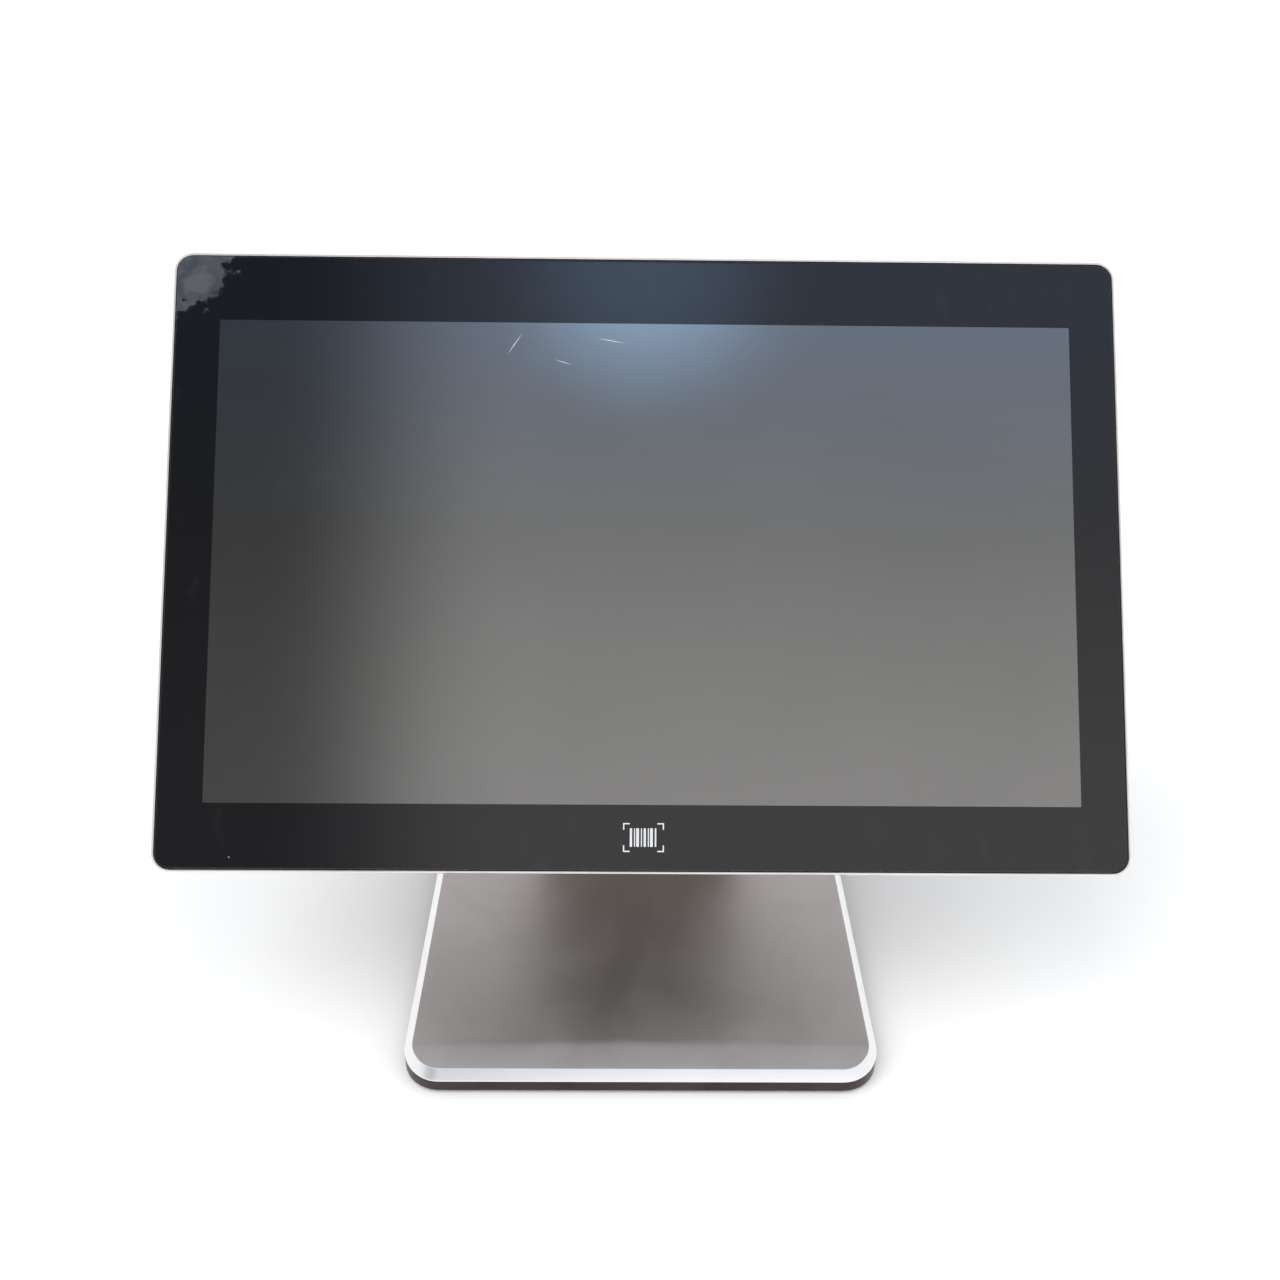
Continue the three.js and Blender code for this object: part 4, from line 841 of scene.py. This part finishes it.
def knuckle(side, node, name):
    """A hollow cover over one end of the hinge."""
    radius, wall, soft = KNUCKLE["radius"], KNUCKLE["wall"], KNUCKLE["soft"]
    inner, outer = KNUCKLE["inner"], KNUCKLE["outer"]
    quarter = [math.pi / 2 * i / 5 for i in range(6)]
    sections = [(0.3, inner), (0.0, inner + 0.3)]
    sections += [(soft * (1 - math.cos(a)), outer - soft * (1 - math.sin(a))) for a in quarter]
    seat = BUMP["rear"] + FRAME["gap"]
    skin = [on_yz(knuckle_outline(radius - inset, seat)[0], side * x) for inset, x in sections]
    pocket, hinge = knuckle_outline(radius - wall, BUMP["rear"] - PAST)
    hollow = [on_yz(pocket, side * x) for x in (inner + KNUCKLE["inner_wall"], outer - wall)]
    eye = rod_x(SHAFT_EYE, sorted((side * (inner - PAST), side * (inner + PAST))), hinge.y, hinge.z)
    shell = cut(loft(skin), loft(hollow), eye)
    return piece(name, finish_mesh(shell, name, HEAD), node, BLACK)


# ---------------------------------------------------------------- carried-over nodes
FEET = ("front_left", "front_right", "rear_left", "rear_right")
REFINED = {
    "cable_cover": ("cable_lid", BLACK, 0.5),
    "neck_rear_cover": ("neck_lid", BLACK, 0.4),
    "cable_grommet": ("outlet_grommet", RUBBER, 0.4),
    "power_button": ("power_key", GLOSSY, 0.35),
    "base_bottom_plate": ("bottom_plate", POWDER, 0.2),
    **{f"foot_{place}": (f"foot_pad_{place}", RUBBER, 0.4) for place in FEET},
    **{f"rear_screw_{i}": (f"cover_screw_{i}", SCREW, 0.2) for i in range(1, 5)},
    **{f"base_screw_{i}": (f"plate_screw_{i}", SCREW, 0.2) for i in range(1, 5)},
    **{node: (f"{node}_body", NICKEL, 0.25) for node in METAL_SOCKETS},
    **{node: (f"{node}_body", GLOSSY, 0.25) for node in PLASTIC_SOCKETS},
}


def dress_hidden_nodes(done):
    """Give every node that no piece replaces its material on the CAD's own shape."""
    for name, obj in NODES.items():
        if name in done:
            continue
        obj.data.materials.clear()
        obj.data.materials.append(SLOT_LOOKS[SLOT_OF[name]])


# ---------------------------------------------------------------- stage
WORLD_STRENGTH = 0.98
SUNS = (  # name, direction that it shines from, W/m2, degrees across
    ("key", (-1.4, -1.0, 2.2), 1.05, 50.0),
    ("fill", (1.6, -0.8, 1.8), 0.45, 70.0),
)
FLOOR_HALF = 30.0  # m


def emitter(name, build):
    """A light-giving material whose colour and strength the build function wires up."""
    material = bpy.data.materials.new(name)
    material.use_nodes = True
    tree = material.node_tree
    tree.nodes.clear()
    light = tree.nodes.new("ShaderNodeEmission")
    output = tree.nodes.new("ShaderNodeOutputMaterial")
    tree.links.new(light.outputs["Emission"], output.inputs["Surface"])
    build(tree, light)
    return material


def card(name, outline, distance, camera, material):
    """A card that only reflections see, drawn by where the glass mirrors it to the camera."""
    eye = HEAD.inverted() @ camera.location
    mirrored = Vector((eye.x, -eye.y, eye.z))
    grow = (mirrored.y + distance) / mirrored.y
    mesh = bpy.data.meshes.new(name)
    mesh.from_pydata([(x * MM, 0.0, z * MM) for x, z in outline], [], [tuple(range(len(outline)))])
    mesh.materials.append(material)
    obj = bpy.data.objects.new(name, mesh)
    offset = Vector((mirrored.x, 0.0, mirrored.z)) * (1 - grow)
    obj.matrix_world = HEAD @ Matrix.Translation(offset - Vector((0, distance, 0))) @ Matrix.Scale(grow, 4)
    bpy.context.scene.collection.objects.link(obj)
    for flag in ("camera", "diffuse", "shadow", "transmission", "volume_scatter"):
        setattr(obj, f"visible_{flag}", False)
    return obj


def graded_emitter(name, stops, glow, dim_side):
    """Colours that change up the card, with a glow, and a soft fall-off to one side, in mm."""

    def build(tree, light):
        nodes, links = tree.nodes, tree.links
        where = nodes.new("ShaderNodeTexCoord").outputs["Object"]
        split = nodes.new("ShaderNodeSeparateXYZ")
        links.new(where, split.inputs["Vector"])
        wobble = nodes.new("ShaderNodeTexNoise")
        wobble.inputs["Scale"].default_value = SOFTBOX["wobble_scale"]
        links.new(where, wobble.inputs["Vector"])
        shift = nodes.new("ShaderNodeMath")
        shift.operation = "MULTIPLY_ADD"
        shift.inputs[1].default_value = SOFTBOX["wobble_depth"]
        links.new(wobble.outputs["Fac"], shift.inputs[0])
        links.new(split.outputs["Z"], shift.inputs[2])
        height = nodes.new("ShaderNodeMapRange")
        low, high = stops[0][0], stops[-1][0]
        height.inputs["From Min"].default_value = low * MM
        height.inputs["From Max"].default_value = high * MM
        links.new(shift.outputs["Value"], height.inputs["Value"])
        ramp = nodes.new("ShaderNodeValToRGB")
        while len(ramp.color_ramp.elements) < len(stops):
            ramp.color_ramp.elements.new(0.5)
        for element, (at, colour) in zip(ramp.color_ramp.elements, stops):
            element.position = (at - low) / (high - low)
            element.color = (*colour, 1.0)
        links.new(height.outputs["Result"], ramp.inputs["Fac"])
        fall = nodes.new("ShaderNodeMapRange")
        fall.interpolation_type = "SMOOTHERSTEP"
        fall.inputs["From Min"].default_value = dim_side["dim"] * MM
        fall.inputs["From Max"].default_value = dim_side["full"] * MM
        fall.inputs["To Min"].default_value = dim_side["left_over"]
        links.new(split.outputs["X"], fall.inputs["Value"])
        links.new(fall.outputs["Result"], light.inputs["Strength"])
        centre, radius, colour = glow
        away = nodes.new("ShaderNodeVectorMath")
        away.operation = "DISTANCE"
        away.inputs[1].default_value = (centre[0] * MM, 0.0, centre[1] * MM)
        links.new(where, away.inputs[0])
        fade = nodes.new("ShaderNodeMapRange")
        fade.interpolation_type = "SMOOTHERSTEP"
        fade.inputs["From Min"].default_value = radius * MM
        fade.inputs["From Max"].default_value = 0.0
        links.new(away.outputs["Value"], fade.inputs["Value"])
        mix = nodes.new("ShaderNodeMix")
        mix.data_type = "RGBA"
        links.new(fade.outputs["Result"], mix.inputs[0])
        links.new(ramp.outputs["Color"], mix.inputs[6])
        mix.inputs[7].default_value = (*colour, 1.0)
        links.new(mix.outputs[2], light.inputs["Color"])

    return emitter(name, build)


SOFTBOX = {
    "half_width": 330, "bottom": -210, "top": 260, "distance": 1500.0,
    "wobble_scale": 14.0, "wobble_depth": 0.02,
}
SOFTBOX_TONES = (  # height on the glass, colour
    (-210, (1.2, 1.16, 1.18)),
    (-80, (1.15, 1.12, 1.13)),
    (-20, (0.95, 0.95, 0.95)),
    (20, (0.8, 0.8, 0.82)),
    (75, (0.68, 0.76, 0.93)),
    (125, (0.64, 0.78, 1.08)),
    (260, (0.64, 0.78, 1.08)),
)
SOFTBOX_GLOW = ((0, GLASS["height"] / 2), 80, (1.25, 1.75, 2.45))  # place on the glass, radius, colour
SOFTBOX_FALL = {"dim": -160, "full": -40, "left_over": 0.25}  # places across the glass, strength


def add_softbox(camera):
    """A tall plain softbox that the glass mirrors, dimmer towards its left side."""
    side, low, high = SOFTBOX["half_width"], SOFTBOX["bottom"], SOFTBOX["top"]
    softbox = ((-side, low), (side, low), (side, high), (-side, high))
    tones = graded_emitter("softbox_light", SOFTBOX_TONES, SOFTBOX_GLOW, SOFTBOX_FALL)
    card("softbox_card", softbox, SOFTBOX["distance"], camera, tones)


def add_stage(camera):
    add_softbox(camera)
    floor = bpy.data.meshes.new("floor")
    far = FLOOR_HALF
    corners = [(-far, -far, 0), (far, -far, 0), (far, far, 0), (-far, far, 0)]
    floor.from_pydata(corners, [], [(0, 1, 2, 3)])
    look = Look("floor", (0.93, 0.93, 0.93), 0.9)
    look.colour(look.blend(look.noise(400.0, 3.0), (0.95, 0.94, 0.92), (0.97, 0.96, 0.94)))
    floor.materials.append(look.material)
    plane = bpy.data.objects.new("floor", floor)
    bpy.context.scene.collection.objects.link(plane)


def add_world():
    """An even pale studio, a little cooler overhead than at the horizon."""
    world = bpy.data.worlds.new("studio")
    world.use_nodes = True
    tree = world.node_tree
    background = tree.nodes["Background"]
    where = tree.nodes.new("ShaderNodeTexCoord").outputs["Generated"]
    split = tree.nodes.new("ShaderNodeSeparateXYZ")
    ramp = tree.nodes.new("ShaderNodeValToRGB")
    tree.links.new(where, split.inputs["Vector"])
    tree.links.new(split.outputs["Z"], ramp.inputs["Fac"])
    tree.links.new(ramp.outputs["Color"], background.inputs["Color"])
    ramp.color_ramp.elements[0].color = (1.0, 0.975, 0.95, 1.0)
    ramp.color_ramp.elements[1].color = (0.87, 0.92, 1.0, 1.0)
    background.inputs["Strength"].default_value = WORLD_STRENGTH
    bpy.context.scene.world = world


def add_lights():
    for name, heading, strength, spread in SUNS:
        data = bpy.data.lights.new(name, "SUN")
        data.energy, data.angle = strength, math.radians(spread)
        lamp = bpy.data.objects.new(name, data)
        lamp.location = heading
        lamp.rotation_euler = (-Vector(heading)).to_track_quat("-Z", "Y").to_euler()
        lamp.visible_glossy = False
        bpy.context.scene.collection.objects.link(lamp)
    bpy.context.scene.view_settings.view_transform = "Standard"


camera = add_camera()
add_world()
add_lights()
add_stage(camera)
cover_glass()
front_frame()
rear_cover()
base_shell()
neck_shell()
knuckle(-1, "hinge_cover_left", "knuckle_left")
knuckle(1, "hinge_cover_right", "knuckle_right")
for node, (name, material, width) in REFINED.items():
    refined(node, name, material, width)
REBUILT = {
    "cover_glass", "front_frame", "rear_cover", "base_shell", "neck_front_shell", "hinge_cover_left",
    "hinge_cover_right",
}
dress_hidden_nodes(REBUILT | set(REFINED))

bpy.context.view_layer.update()
